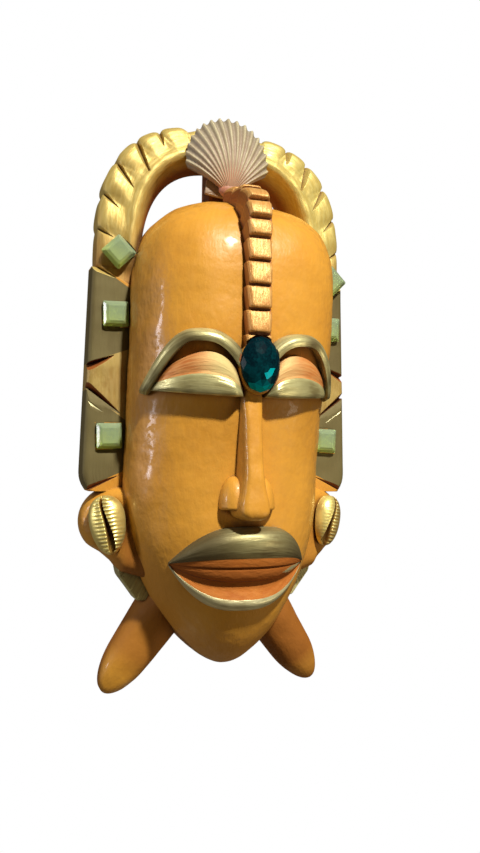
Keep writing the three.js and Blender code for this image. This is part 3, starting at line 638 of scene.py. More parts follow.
@dataclass(frozen=True)
class Headdress:
    """The arch of leaves over the head and the straight panels at its sides."""

    outer: ArchCurve = ArchCurve(60.5, 69.4, 2.8)
    ridge: ArchCurve = ArchCurve(46.0, 58.8, 2.8)
    hole: ArchCurve = ArchCurve(38.2, 52.5, 2.7)
    ridge_half_width: float = 2.2
    leaf_lengths: tuple[float, ...] = (17.5, 16.5, 16.0, 14.0, 12.2, 13.0)
    leaf_swells: tuple[float, ...] = (0.5, 1.2, 2.0, 2.2, 2.3, 2.3)
    cut_lengths: tuple[float, ...] = (15.5, 9.5, 11.0, 14.0, 14.5, 8.0)
    panel_bottom: float = -39.0
    station: float = 0.65
    foot_length: float = 14.0
    pillow: float = 1.15
    edge_round: float = 2.6

    def angle_at(self, length: Array) -> tuple[Array, float]:
        """Turn angles at lengths along the outer curve.

        Args:
            length: lengths up from the foot.

        Returns:
            The angles, and the whole length up to the top.
        """
        dense = np.linspace(0.0, math.pi / 2, 3001)
        run = run_length(self.outer.point(dense))
        return np.interp(length, run, dense), float(run[-1])

    def leaf(self, phase: Array) -> tuple[Array, Array, Array]:
        """Which leaf a length falls in.

        Args:
            phase: lengths along the outer curve.

        Returns:
            The leaf, how far along it (0 to 1), and 1 where there is a leaf at all.
        """
        breaks = np.concatenate([[0.0], np.cumsum(self.leaf_lengths)])
        which = np.clip(np.searchsorted(breaks, phase, side="right") - 1, 0, len(self.leaf_lengths) - 1)
        share = (phase - breaks[which]) / np.asarray(self.leaf_lengths)[which]
        return which, np.clip(share, 0.0, 1.0), ((share >= 0) & (share <= 1)).astype(float)

    def arch(self) -> Skin:
        """The arch: its section runs up the inner wall, over a rounded ridge and down the leaves to the edge.

        Each leaf swells past the notches by swell * (1 - |2 f - 1| ** 4) ** 0.6 and is pillowed between its
        grooves, with f the share of the way along it, read on lines that slant as the grooves do.

        Returns:
            The skin.
        """
        _, quarter = self.angle_at(np.zeros(1))
        run = np.linspace(0.02, quarter, int(quarter / self.station))
        foot = np.linspace(-self.foot_length, -0.5, 10)
        length = np.concatenate([foot, run, run[-2::-1], foot[::-1]])
        rising, _ = self.angle_at(np.maximum(length, 0.0))
        left = np.arange(len(length)) >= len(foot) + len(run)
        angle = np.where(left, math.pi - rising, rising)
        which, share, inside = self.leaf(length)
        swell = np.asarray(self.leaf_swells)[which] * (1 - np.abs(2 * share - 1) ** 4) ** 0.6 * inside
        leaves_end = sum(self.leaf_lengths)
        swell = np.where(length > leaves_end, 1.2 * smooth(length, leaves_end, 97), swell)
        rise = (RIDGE_DEPTH - FLANGE_DEPTH) * smooth(length, -8, 14)
        drop = np.where(length < 0, -length / self.foot_length, 0.0)

        hole, inner = self.hole.point(angle), self.ridge.point(angle, -self.ridge_half_width)
        crest, outer = self.ridge.point(angle), self.ridge.point(angle, self.ridge_half_width * 1.6)
        edge, side = self.outer.point(angle, swell - 1.6), self.outer.point(angle, swell)
        depths = [
            (hole, np.zeros_like(rise)),
            ((hole + inner) / 2, (FLANGE_DEPTH + rise) * 0.6),
            (inner, FLANGE_DEPTH + rise * 0.75),
            (crest, FLANGE_DEPTH + rise),
            (outer, FLANGE_DEPTH + rise * 0.55),
            ((outer + edge) / 2, FLANGE_DEPTH + rise * 0.22),
            (edge, np.full_like(rise, FLANGE_DEPTH - 0.6)),
            (side, np.full_like(rise, FLANGE_DEPTH - 3)),
        ]
        controls = np.stack([points_of(p[:, 0], -y, p[:, 1]) for p, y in depths], axis=1)
        slant = 0.4 + 0.625 * np.maximum(self.outer.half_width - np.abs(controls[..., 0]), 0.0)
        controls[..., 2] -= slant * drop[:, None]
        controls[..., 1] += (0.9 * smooth(-length, -7.0, 4.0))[:, None] * (controls[..., 1] < -8)
        per_span = 6
        section = spline_rows(controls, per_span)
        inward = np.linalg.norm(section[:, :, [0, 2]] - controls[:, -1:, [0, 2]], axis=-1)
        _, fraction, on_leaf = self.leaf(length[:, None] + 0.33 * inward)
        ahead = np.arange(section.shape[1]) >= per_span * 3
        pillow = self.pillow * (0.6 - (2 * fraction - 1) ** 2) * on_leaf
        window = smooth(inward, 0.6, 3.5) * smooth(-inward, -13.5, -8.0) * ahead[None, :]
        section[..., 1] -= pillow * window
        section[..., 1] += 0.12 * ripples(section, 9.0, 12) * smooth(-section[..., 1], 4.0, 9.0)
        backs = section[:, [0, -1]] * [1.0, 0.0, 1.0] + [0.0, BACK_STOCK, 0.0]
        rings = np.concatenate([backs[:, :1], section, backs[:, 1:]], axis=1)
        # painted light and shade: darker down the inner wall to the back, towards the feet, and on the left
        # half
        painted_light_and_shade = smooth(-rings[..., 1], 4.5, 14.5) * blend(0.35, 1.0, smooth(length, -6, 26))[:, None]
        on_leaves = np.arange(rings.shape[1]) > per_span * 3 + 4
        painted_light_and_shade = np.maximum(painted_light_and_shade, blend(0.45, 1, smooth(length, 0, 30))[:, None] * on_leaves)
        return loft(rings, Paint.GILT, tone=painted_light_and_shade * np.where(left, 0.8, 1.0)[:, None])

    def panel(self, side: float) -> Skin:
        """A side panel: rows follow the slanting cuts, so that each paint ends along one.

        Its outer edge widens downwards, is drawn in at the lower corner and is rounded to the front.

        Args:
            side: -1 on the left, 1 on the right.

        Returns:
            The skin.
        """
        turn = np.linspace(0.0, math.pi / 2, 9)
        bend = self.edge_round
        edge_x = np.concatenate([[0.0, 0.0], -bend + bend * np.cos(turn)])
        edge_y = np.concatenate([[BACK_STOCK, -FLANGE_DEPTH + 5], -FLANGE_DEPTH + bend - bend * np.sin(turn)])
        inner = np.linspace(-3.4, -32.0, 22)
        offset = np.concatenate([edge_x, inner, [-32.0]])
        y = np.concatenate([edge_y, np.full(len(inner), -FLANGE_DEPTH), [BACK_STOCK]])
        x = np.maximum(62.6 + offset, 30.0)
        lines = np.stack(
            [
                np.full_like(x, ARCH_BASE),
                np.minimum(ARCH_BASE - (self.outer.half_width - x) * 0.625, 63.4),
                18.4 + (64.4 - x) * 0.388,
                8.4 - (64.4 - x) * 0.755,
                np.maximum(-39.6 + (65.4 - x) * 0.471, self.panel_bottom + 0.4),
                np.full_like(x, self.panel_bottom),
            ]
        )
        counts = (6, 24, 12, 24, 8)
        bands, paints = [], []
        order = (Paint.OCHRE, Paint.DULL_BRONZE, Paint.OLD_GOLD, Paint.DULL_BRONZE, Paint.OCHRE)
        for upper, lower, count, paint in zip(lines[:-1], lines[1:], counts, order, strict=True):
            share = np.linspace(0.0, 1.0, count, endpoint=False)[:, None]
            bands.append(upper[None, :] * (1 - share) + lower[None, :] * share)
            paints.append(np.full((count, len(x)), paint.value))
        z = np.concatenate([*bands, lines[-1:]])
        corner = np.maximum(0.0, (self.panel_bottom + 10 - z) / 10)
        wide = (ARCH_BASE - z) * 0.028 - 3.4 * corner**2.5
        shift = wide * smooth(x, 30.0, 52.0)[None, :]
        rings = points_of(side * (x + shift), y, z)
        rings[..., 1] += 0.1 * ripples(rings, 12.0, 21) * (y < -12)
        rings[:5, :, 1] = np.maximum(rings[:5, :, 1], -9.0)
        return loft(rings, np.concatenate(paints), tone=np.full(z.shape, 0.9))

    def groove(
        self,
        start: tuple[float, float],
        end: tuple[float, float],
        width: float,
        depth: float,
        surfaces: tuple[float, float],
        across: tuple[float, float],
        paint: Paint,
        tone: float,
    ) -> Skin:
        """A V-shaped cut that is widest and deepest at the outer edge and runs out on the surface.

        Its width and depth fall as (1 - t) ** 0.8 from start to end, and across says which way the sloping
        wall faces; the other wall is nearly upright.

        Args:
            start, end: the cut's two ends in x and z.
            width, depth: its size at the start.
            surfaces: the depth of the wood at each end.
            across: the way that the sloping wall faces.
            paint, tone: its finish.

        Returns:
            The skin of the cutter.
        """
        first, last = np.asarray(start, float), np.asarray(end, float)
        along = (last - first) / np.linalg.norm(last - first)
        aside = np.array([-along[1], along[0]])
        aside = -aside if aside @ np.asarray(across) < 0 else aside
        t = np.linspace(-3 / np.linalg.norm(last - first), 1.0, 14)
        size = np.maximum(1 - t, 0.0) ** 0.8
        origin = first + t[:, None] * (last - first)
        floor = -blend(surfaces[0], surfaces[1], np.clip(t, 0, 1)) + depth * size
        spread = (width / depth) * (floor - CUTTER_TOP)
        places = []
        for offset, y in ((-0.25 * spread, CUTTER_TOP), (0 * spread, floor), (spread, CUTTER_TOP)):
            flat = origin + aside[None, :] * offset[:, None]
            places.append(points_of(flat[:, 0], y, flat[:, 1]))
        return loft(np.stack(places, axis=1), paint, tone=np.full((len(t), 3), tone))

    def leaf_cuts(self) -> list[Skin]:
        """The slanting cuts between the leaves, on both halves of the arch.

        Returns:
            The cutters.
        """
        breaks = np.concatenate([[0.0], np.cumsum(self.leaf_lengths)])[: len(self.cut_lengths)]
        angles, _ = self.angle_at(breaks)
        cuts = []
        for side in SIDES:
            for i, length in enumerate(self.cut_lengths):
                x, z = self.outer.point(math.pi - angles[i] if side < 0 else angles[i])
                turn = math.atan2(z - ARCH_BASE, abs(x)) + math.radians(32 if i == 0 else 18)
                end = (x - side * length * math.cos(turn), z - length * math.sin(turn))
                surfaces = (FLANGE_DEPTH, FLANGE_DEPTH + 2.2)
                cuts.append(self.groove((x, z), end, 3.3, 3.8, surfaces, (side, -1), Paint.GILT, 0.85))
        return cuts

    def panel_cuts(self) -> list[Skin]:
        """The notches that part the bronze panels, the triangle between them and the ear lobes.

        Returns:
            The cutters.
        """
        marks = (
            # umber notches: their own dark paint, which in the cuts also stands as painted shade
            ((64.4, 18.4), (51.5, 23.4), 3.4, 5.5, -1.0, Paint.UMBER),
            ((64.4, 8.4), (48.5, -3.6), 2.4, 5.5, 1.0, Paint.UMBER),
            ((64.4, 8.0), (48.5, -3.6), 4.6, 1.5, -1.0, Paint.DULL_BRONZE),
            # a thin pale cut along the lower panel's top edge, painted as a highlight
            ((65.0, 3.2), (54.6, -4.6), 0.9, 0.5, -1.0, Paint.RIM_GOLD),
            ((65.4, -39.6), (48.0, -31.4), 2.2, 2.6, 1.0, Paint.UMBER),
        )
        cuts = []
        for side in SIDES:
            for start, end, width, depth, up, paint in marks:
                first, last = (side * start[0], start[1]), (side * end[0], end[1])
                surfaces = (FLANGE_DEPTH, FLANGE_DEPTH)
                cuts.append(self.groove(first, last, width, depth, surfaces, (side, up), paint, 0.9))
        return cuts

    def post(self) -> Skin:
        """The short block behind the scallop that joins the crown to the arch."""
        outline = softened(np.array([[-8.0, 86.3], [8.0, 86.3], [8.0, 120.0], [-8.0, 120.0]]), 1.0, 1)
        return loft(prism(outline, (BACK_STOCK, -11.8, -12.7, -13.0), (1, 1, 0.985, 0.95)), Paint.UMBER)


# Ears and legs


@dataclass(frozen=True)
class EarsAndLegs:
    """The lobes under the cowries, the bronze blocks below them and the splayed legs."""

    ear_depth: float = 17.2
    ear_turn: float = 26.0
    ear_middle: float = 52.5
    leg_root: tuple[float, float] = (27.6, -97.0)
    leg_tip: tuple[float, float] = (52.2, -132.0)

    def lobe(self, side: float) -> Skin:
        """A rounded lobe: rings shrink to 0.6 of the outline while the height rises as 1 - (1 - q) ** 2.2.

        Its tone falls towards the head and the lower edge as painted shade, more on the left lobe.

        Args:
            side: -1 on the left, 1 on the right.

        Returns:
            The skin.
        """
        turn = np.radians(np.linspace(-42, 88, 27))
        bow = points_of(46 + 19 * np.cos(turn) ** 0.9, -53 + 16.5 * np.sin(turn))
        corner = np.array([[30, -34], [30, -80], [47, -75.6], [49.6, -72], [55.5, -67]], float)
        outline = softened(np.concatenate([bow, corner]), 0.8, 1)
        centre = np.array([46.0, -54.0])
        q = np.linspace(0.0, 1.0, 18)
        scale = np.concatenate([[1.0], 1 - 0.4 * q**2, [0.45, 0.3, 0.15]])[:, None]
        height = np.concatenate([[0.0], 0.46 + 0.54 * (1 - (1 - q) ** 2.2), [1.0, 1.0, 1.0]])[:, None]
        flat = centre + (outline - centre)[None] * scale[..., None]
        slope = math.tan(math.radians(self.ear_turn))
        depth = (self.ear_depth - slope * (flat[..., 0] - self.ear_middle)) * height
        depth[0] = -BACK_STOCK
        rings = points_of(side * flat[..., 0], -depth, flat[..., 1])
        rings[2:, :, 1] += 0.12 * ripples(rings[2:], 10.0, 31)
        # painted shade where the head shades the lobe, towards the head and low down
        shade = (1 - smooth(np.abs(rings[..., 0]), 44.0, 56.0)) * smooth(-rings[..., 2], 40.0, 60.0)
        return loft(rings, Paint.OCHRE, tone=1 - (0.7 - 0.2 * side) * shade)

    def cheek_block(self, side: float) -> Skin:
        """A small flat block with eased edges between the lobe and the leg.

        Args:
            side: -1 on the left, 1 on the right.

        Returns:
            The skin.
        """
        corners = np.array(
            [[26, -64], [48.2, -73.8], [47.2, -78], [42.4, -84.4], [38.6, -89.6], [26, -90]], float
        )
        outline = softened(corners, 0.7, 1) * [side, 1.0]
        return loft(prism(outline, (BACK_STOCK, -9.3, -10.8, -11.5), (1, 1, 0.985, 0.95)), Paint.BRONZE)

    def leg(self, side: float) -> Skin:
        """A tapering tongue with a bowed front.

        Its half width falls with length and closes at the tip as (1 - share ** 2.3) ** 0.5, and its front is
        raised by sin ** 0.85 across. Its tone falls as painted shade towards the root, under the jaw, and
        towards the wall, and is lower over the whole right leg.

        Args:
            side: -1 on the left, 1 on the right.

        Returns:
            The skin.
        """
        root, tip = np.array(self.leg_root), np.array(self.leg_tip)
        reach = float(np.linalg.norm(tip - root))
        along = (tip - root) / reach
        across = np.array([-along[1], along[0]])
        rounding = reach - 0.1 - 6.6 * np.linspace(1, 0, 16) ** 2
        closing = 21
        length = np.concatenate([np.linspace(-16, 20, 24), np.linspace(closing, 36, 20), rounding])
        share = np.maximum(0.0, (length - closing) / (reach - closing))
        end = np.maximum(1 - share**2.3, 0.0) ** 0.5
        half_width = ((11.8 - 0.075 * length) * end)[:, None]
        depth = ((17.5 - 0.17 * length) * (0.35 + 0.65 * end))[:, None]
        turn = np.linspace(0, math.pi, 40)[None, :]
        offset = half_width * signed_power(np.cos(turn), 0.9)
        y = -3 - (depth - 3) * arc(turn, 0.85)
        offset = np.concatenate([half_width, offset, -half_width], axis=1)
        back = np.full_like(half_width, BACK_STOCK)
        y = np.concatenate([back, y, back], axis=1)
        middle = root + along * length[:, None]
        x = middle[:, :1] + across[0] * offset
        z = middle[:, 1:] + across[1] * offset
        rings = points_of(side * x, y, z)
        rings[..., 1] += 0.13 * ripples(rings, 11.0, 41) * smooth(-y, 2.0, 6.0)
        # painted shade: darker towards the root and the wall; the whole right leg is darker
        light = blend(0.25, 1.1, smooth(length, 19.0, 36.0))[:, None] * smooth(-y, 1.0, 9.0)
        return loft(rings, Paint.OCHRE, tone=np.clip(light - 0.3 * (side + 1), 0.0, 1.0))


# Face


@dataclass(frozen=True)
class Crest:
    """The stepped ridge over the forehead: each block stands proudest at its lower edge."""

    head: Head
    middle: float = -0.4
    half_width: float = 5.6
    height: float = 7.6
    step: float = 1.9
    breaks: tuple[float, ...] = (-10.2, 0.0, 10.2, 20.4, 30.4, 39.4, 45.6, 52.0, 61.0, 71.0, 81.5)
    bottom: float = 29.5
    crown_rise: float = 5.8
    line_start: float = 22.0

    def place(self, length: Array, height: Array) -> Array:
        """Points on and over the middle line of the head, raised square to it and a little more at the crown.

        Args:
            length: lengths up the line from the crest's foot.
            height: how far each point is raised.

        Returns:
            Points (..., 2) in y and z.
        """
        t = np.linspace(0.0, 1.0, 1201)
        z = self.line_start + (self.head.top - self.line_start) * (1 - (1 - t) ** 3)
        _, depth, _, _ = self.head.size(np.minimum(z, self.head.top - 0.01))
        line = points_of(-depth, z)
        run = run_length(line)
        slope = np.gradient(line, run, axis=0)
        slope /= np.linalg.norm(slope, axis=1, keepdims=True)
        start = np.interp(self.bottom, z, run)
        wanted = np.clip(start + length, run[3], run[-4])
        at = np.stack([np.interp(wanted, run, line[:, k]) for k in range(2)], axis=-1)
        dy, dz = (np.interp(wanted, run, slope[:, k]) for k in range(2))
        extra = self.crown_rise * (smooth(length, 34.0, 52.0) - smooth(length, 54.0, 72.0))
        return at + points_of(-dz, dy) * (height + extra * (height > -1))[..., None]

    def block(self, i: int) -> Skin:
        """One block: a rounded box in section, whose height falls and width grows up its length.

        Args:
            i: the number of the block, from the foot.

        Returns:
            The skin.
        """
        share = np.array([0.0, 0.025, 0.07, 0.14, 0.3, 0.5, 0.7, 0.88, 0.97, 1.0])
        ease = np.array([0.75, 0.3, 0.06, 0, 0, 0, 0, 0, 0.1, 0.45])
        length = (self.breaks[i] + share * (self.breaks[i + 1] - self.breaks[i] - 0.9))[:, None]
        height = (self.height - self.step * blend(share, share**2, 0.6) - ease)[:, None]
        wide = self.half_width * blend(0.84, 1.0, share**0.8)[:, None] - 0.35 * ease[:, None]
        turn = np.linspace(0.0, math.pi, 34)[None, :]
        x = self.middle + (wide + 0.3) * signed_power(np.cos(turn), 0.3)
        lift = -4 + (height + 4) * arc(turn, 0.3)
        spots = self.place(np.broadcast_to(length, x.shape), lift)
        rings = points_of(x, spots[..., 0], spots[..., 1])
        rings[..., 1] += 0.1 * ripples(rings, 4.0, 50 + i)
        walls = np.abs(np.cos(turn[0])) > 0.86
        paint = np.where(walls, Paint.UMBER.value, Paint.CREST_GOLD.value)
        return loft(rings, paint)

    def bed(self) -> Skin:
        """The lower strip, umber, that shows as the dark line between the blocks and so is also painted
        shade.

        Returns:
            The skin.
        """
        length = np.linspace(self.breaks[0], self.breaks[-1] - 1, 60)[:, None]
        low = np.full_like(length, -4.0)
        high = np.full_like(length, self.height - self.step - 0.9)
        foot, top = self.place(length, low)[:, 0], self.place(length, high)[:, 0]
        wide = self.half_width - 0.6
        corners = ((-wide, foot), (-wide, top), (wide, top), (wide, foot))
        rings = np.stack([points_of(self.middle + x, p[:, 0], p[:, 1]) for x, p in corners], axis=1)
        return loft(rings, Paint.UMBER)

    def skins(self) -> list[Skin]:
        """All blocks, one more hidden below the oval gem, and the bed."""
        return [*(self.block(i) for i in range(len(self.breaks) - 1)), self.bed()]


@dataclass(frozen=True)
class EyesAndBrows:
    """Crescent brows with a sharp lower edge, and heavy closed lids with a bronze band."""

    head: Head
    brow_inner: float = 1.6
    brow_outer: float = 42.6
    brow_peak: float = 23.0
    lid_inner: float = 4.6
    lid_outer: float = 42.0
    lid_height: float = 8.0

    def brow_top(self, x: Array) -> Array:
        """Upper edge of a brow: 5 + 25.8 * (1 - run ** 2.6), with run the share of the span from the peak.

        Args:
            x: distances from the middle of the face.

        Returns:
            The height of the edge.
        """
        span = np.where(x > self.brow_peak, self.brow_outer - self.brow_peak, 27.0)
        run = np.minimum(1.0, np.abs(x - self.brow_peak) / span)
        return 5 + 25.8 * (1 - run**2.6)

    def painted_socket_and_jaw_shade(self, points: Array) -> Array:
        """The head's tone as painted shade: 1, falling between brows and lids, on the left jaw and round the
        chin.

        Args:
            points: places (n, 3).

        Returns:
            The tone at each place.
        """
        x, z = np.abs(points[:, 0] - FACE_SHIFT), points[:, 2]
        below = smooth(self.brow_top(x) - z, 0.5, 4.0) * smooth(z, 1.0, 4.0)
        beside = smooth(x, self.brow_inner, 6.0) * (1 - smooth(x, self.brow_outer - 3, self.brow_outer))
        jaw = np.maximum(smooth(-points[:, 0], 14.0, 34.0) * smooth(-z, 58.0, 84.0), smooth(-z, 92.0, 112.0))
        return (1 - 0.5 * below * beside * (points[:, 1] < -20)) * (1 - 0.26 * jaw)

    def brow(self, side: float) -> Skin:
        """A brow as a row of sections square to its upper edge, widest over the middle of the eye.

        Args:
            side: -1 on the left, 1 on the right.

        Returns:
            The skin.
        """
        t = np.linspace(0.0, 1.0, 90)
        x = self.brow_inner + (self.brow_outer - self.brow_inner) * (1 - (1 - t) ** 1.5)
        top = self.brow_top(x)
        slope = (self.brow_top(x + 0.2) - self.brow_top(x - 0.2)) / 0.4
        lean = 1 / np.hypot(1, slope)
        width = 5.4 * (0.5 + 0.5 * (1 - t**4) ** 0.6)
        height = 4.9 * (0.55 + 0.45 * (1 - t**5) ** 0.5) * (1 - smooth(t, 0.95, 1.0) * 0.45)
        buried = -3.0
        shares = ((-0.4, None), (0, 0.3), (0.3, 0.82), (0.62, 1.0), (1.0, 0.86), (0.86, None))
        controls = []
        for down, lift in shares:
            fall = np.full_like(t, down) if down < 0 else width * down
            rise = np.full_like(t, buried) if lift is None else height * lift
            controls.append(self.head.proud(side, x + slope * lean * fall, top - lean * fall, rise))
        rings = spline_rows(np.stack(controls, axis=1), 6, corners=(1, 4))
        return loft(rings, Paint.BRONZE, tone=np.clip(0.66 + 0.2 * ripples(rings, 9.0, 72), 0.2, 1.0))

    def lid(self, side: float) -> Skin:
        """A closed lid: a dome over an almost level lower edge, stepped where its bronze band ends.

        With t the share from the inner corner it rises by sin(pi * t ** 0.72) ** 0.75 and swells by
        1 - t ** 1.6, and its copper grows paler towards the nose. Its bronze band is darker towards its
        lower edge as painted shade.

        Args:
            side: -1 on the left, 1 on the right.

        Returns:
            The skin.
        """
        t = np.linspace(0.004, 0.996, 110)
        x = self.lid_inner + (self.lid_outer - self.lid_inner) * t
        low = 3.2 + 2.4 * t**1.4
        rise = 17.4 * np.sin(math.pi * t**0.72) ** 0.75
        swell = 0.1 + 0.9 * (1 - t**1.6) * smooth(t, -0.1, 0.12)
        band_profile = ((-0.01, -4.0), (0.0, 0.8), (0.04, 0.93), (0.14, 1.01), (0.3, 1.0), (0.47, 0.88))
        profile = (*band_profile, (0.53, 0.74), (0.78, 0.66), (1.0, 0.34), (1.02, -4.0))
        controls = [
            self.head.proud(side, x, low + rise * share, lift if lift < 0 else self.lid_height * lift * swell)
            for share, lift in profile
        ]
        per_span = 7
        rings = spline_rows(np.stack(controls, axis=1), per_span, corners=(1, 5, 6, 8))
        column = np.arange(rings.shape[1])
        band = per_span * 5 + 3
        paint = np.where(column < band, Paint.BRONZE.value, Paint.COPPER.value)
        # painted shade: the bronze band is darker towards its lower edge, which faces down
        bronze = blend(0.72, 1.0, smooth(column, per_span * 1.5, per_span * 4.0))
        bronze = bronze + 0.12 * ripples(rings, 8.0, 71)
        pale = (0.68 - 0.22 * side) * (1 - smooth(t, 0.22, 0.6))
        copper = 1 - pale[:, None] * smooth(column, band - 2, band + 6)
        tone = np.where(column < band, np.clip(bronze, 0.0, 1.0), np.clip(copper, 0.0, 1.0))
        return loft(rings, paint, tone=tone)


@dataclass(frozen=True)
class Nose:
    """A long straight nose with flat sides that swells into a rounded tip, and its two wings.

    The stations hold a height, the half width there and how far its front stands from the wall.
    """

    stations: tuple[tuple[float, float, float], ...] = (
        (8, 4.4, 61.6), (1, 4.3, 62.4), (-9, 4, 63.7), (-20, 3.9, 65.2), (-30, 4.1, 66.8), (-37, 4.9, 67.8),
        (-42, 5.8, 68.7), (-45.4, 5.9, 68.9), (-47.4, 5, 68), (-48.6, 3.3, 66), (-48.9, 1.6, 65),
    )
    edge_round: float = 6.0
    wing_width: float = 6.6
    wing_depth: float = 8.4
    wing_height: float = 14.2

    def bar(self) -> Skin:
        """The bar: half width and front go smoothly through the stations, and its front edge is rounded.

        Returns:
            The skin.
        """
        z, half, front = smooth_span(np.array(self.stations, float)[None], 9)[0].T
        turn = np.linspace(0.0, math.pi, 30)[None, :]
        lift = arc(turn, 0.5)
        x = half[:, None] * signed_power(np.cos(turn), 0.5) * (1 + 0.14 * (1 - lift))
        y = -(front[:, None] - self.edge_round) - self.edge_round * lift
        foot = (half + 1.6)[:, None]
        x = np.concatenate([foot, x, -foot], axis=1)
        y = np.concatenate([np.full_like(foot, -46.0), y, np.full_like(foot, -46.0)], axis=1)
        rings = points_of(FACE_SHIFT + x, y, z[:, None])
        rings[..., 1] += 0.08 * ripples(rings, 8.0, 61)
        return loft(rings)

    def wing(self, side: float) -> Skin:
        """A wing: a quarter dome beside the tip, of radius (1 - level ** 2.4) ** 0.5, cut flat below.

        Args:
            side: -1 on the left, 1 on the right.

        Returns:
            The skin.
        """
        level = np.concatenate([[0.0, 0.006, 0.02], np.linspace(0.05, 0.999, 26)])[:, None]
        size = (1 - level**2.4) ** 0.5 * np.where(level < 0.04, 0.93 + 1.6 * level, 1.0) + 0.02
        turn = whole_turn(48)[None, :]
        x = FACE_SHIFT + side * (5.6 + self.wing_width * size * np.cos(turn))
        y = -54 - self.wing_depth * size * np.sin(turn)
        return loft(points_of(x, y, -44.6 + self.wing_height * level))


@dataclass(frozen=True)
class Mouth:
    """Full lips: a swelling upper lip, a parted inner mouth, a cupped lower lip and its raised rim.

    The profile holds a height below the corner line, a height above the face, and whether the form is broken
    there. The bands say how many of its spans have each paint.
    """

    head: Head
    half_width: float = 30.4
    corner: float = -68.6
    profile: tuple[tuple[float, float, bool], ...] = (
        (-17, -3, False), (-16.6, 0.8, True), (-15, 6.4, False), (-11.8, 8.8, False), (-7, 8.2, False),
        (-4.4, 6.6, False), (-3.6, 6, True), (-1.8, 5.9, False), (0, 5.5, True), (0.6, 4.1, True),
        (1.3, 4.6, False), (4, 4.4, False), (6.4, 3, True), (7, 0.9, True), (10.4, 1.6, False),
        (13.2, 3.6, False), (14.4, 4.6, True), (16.2, 5.4, False), (18.2, 4.6, False), (19.6, 2, False),
        (19.8, -3, False),
    )
    bands: tuple[tuple[Paint, int], ...] = (
        (Paint.BRONZE, 6), (Paint.LIP_ORANGE, 6), (Paint.UMBER, 1), (Paint.LIP_ORANGE, 3),
        (Paint.RIM_GOLD, 4),
    )

    def lips(self) -> Skin:
        """The mouth as one form: rows across it, each the middle profile narrowed towards the corners.

        With a the share of the way to a corner, heights shrink below the corner line as 1 - |a| ** 2.7 and
        above it as 1 - |a - 0.1 (1 - a ** 2)| ** 3.4, and the relief as 1 - |a| ** 2.5. The tone is highest
        in the middle and in the cup and falls towards the corners as painted shade; it carries a painted
        highlight on the upper lip, is low inside as painted shade, and is 1 on a painted glint at the right
        end.

        Returns:
            The skin.
        """
        t = np.linspace(-1.0, 1.0, 132)
        across = np.sin(t * math.pi / 2)
        x = FACE_SHIFT + self.half_width * across
        bow = 0.04 + 0.96 * (1 - np.abs(across - 0.1 * (1 - across**2)) ** 3.4)
        cup = 0.04 + 0.96 * (1 - np.abs(across) ** 2.7)
        lift = 0.25 + 0.75 * (1 - np.abs(across) ** 2.5)
        controls = []
        for down, out, _ in self.profile:
            z = self.corner - down * (bow if down < 0 else cup)
            height = out * lift if out > 0 else np.full_like(x, out)
            controls.append(points_of(x, self.head.front(x, z) - height, z))
        per_span = 5
        corners = tuple(i for i, (_, _, broken) in enumerate(self.profile) if broken)
        rings = spline_rows(np.stack(controls, axis=1), per_span, corners)
        paint = np.concatenate([np.full(spans * per_span, paint.value) for paint, spans in self.bands])
        levels = [entry[0] for entry in self.profile]
        down = np.interp(np.arange(rings.shape[1]) / per_span, np.arange(len(levels)), levels)
        # painted shade: darker towards the corners of the lips
        tone = 0.42 - 0.34 * smooth(np.abs(across - 0.12), 0.1, 0.75)[:, None] + 0.45 * (down > 10)
        # painted highlight on the upper lip
        painted_glow = np.exp(-(((across - 0.14) / 0.2) ** 2))[:, None] * np.exp(-(((down + 11.5) / 2.6) ** 2))
        tone = np.clip(tone + 0.5 * painted_glow, 0.0, 1.0)
        # painted shade inside the mouth
        inside = (down > -0.1) & (down < 6.8)
        tone = tone * (1 - 0.9 * inside)
        # painted glint: pale rim gold at the right end of the inside
        end = 0.56 + 0.07 * np.abs(down - 4.0)
        painted_glint = inside & (down > 1.6) & (across[:, None] > end) & (across[:, None] < 0.95)
        paint = np.broadcast_to(np.append(paint, Paint.RIM_GOLD.value), rings.shape[:2]).copy()
        paint[painted_glint] = Paint.RIM_GOLD.value
        return loft(rings, paint[:-1], tone=np.where(painted_glint, 1.0, tone))


# Gem places


@dataclass(frozen=True)
class GemPlace:
    """Where a square gem sits: its middle, the depth of its seat and its turn in degrees."""

    node: str
    x: float
    z: float
    seat: float
    turn: float


SQUARE_GEMS = (
    GemPlace("square_gem_left_top", -51.4, 70.2, FLANGE_DEPTH + 1.6, -45),
    GemPlace("square_gem_left_upper", -51.9, 41.9, FLANGE_DEPTH, -2),
    GemPlace("square_gem_left_lower", -53.7, -13.8, FLANGE_DEPTH, -2),
    GemPlace("square_gem_right_top", 55.0, 65.5, FLANGE_DEPTH + 1.6, 45),
    GemPlace("square_gem_right_upper", 54.6, 41.9, FLANGE_DEPTH, 2),
    GemPlace("square_gem_right_lower", 53.4, -13.8, FLANGE_DEPTH, 2),
)


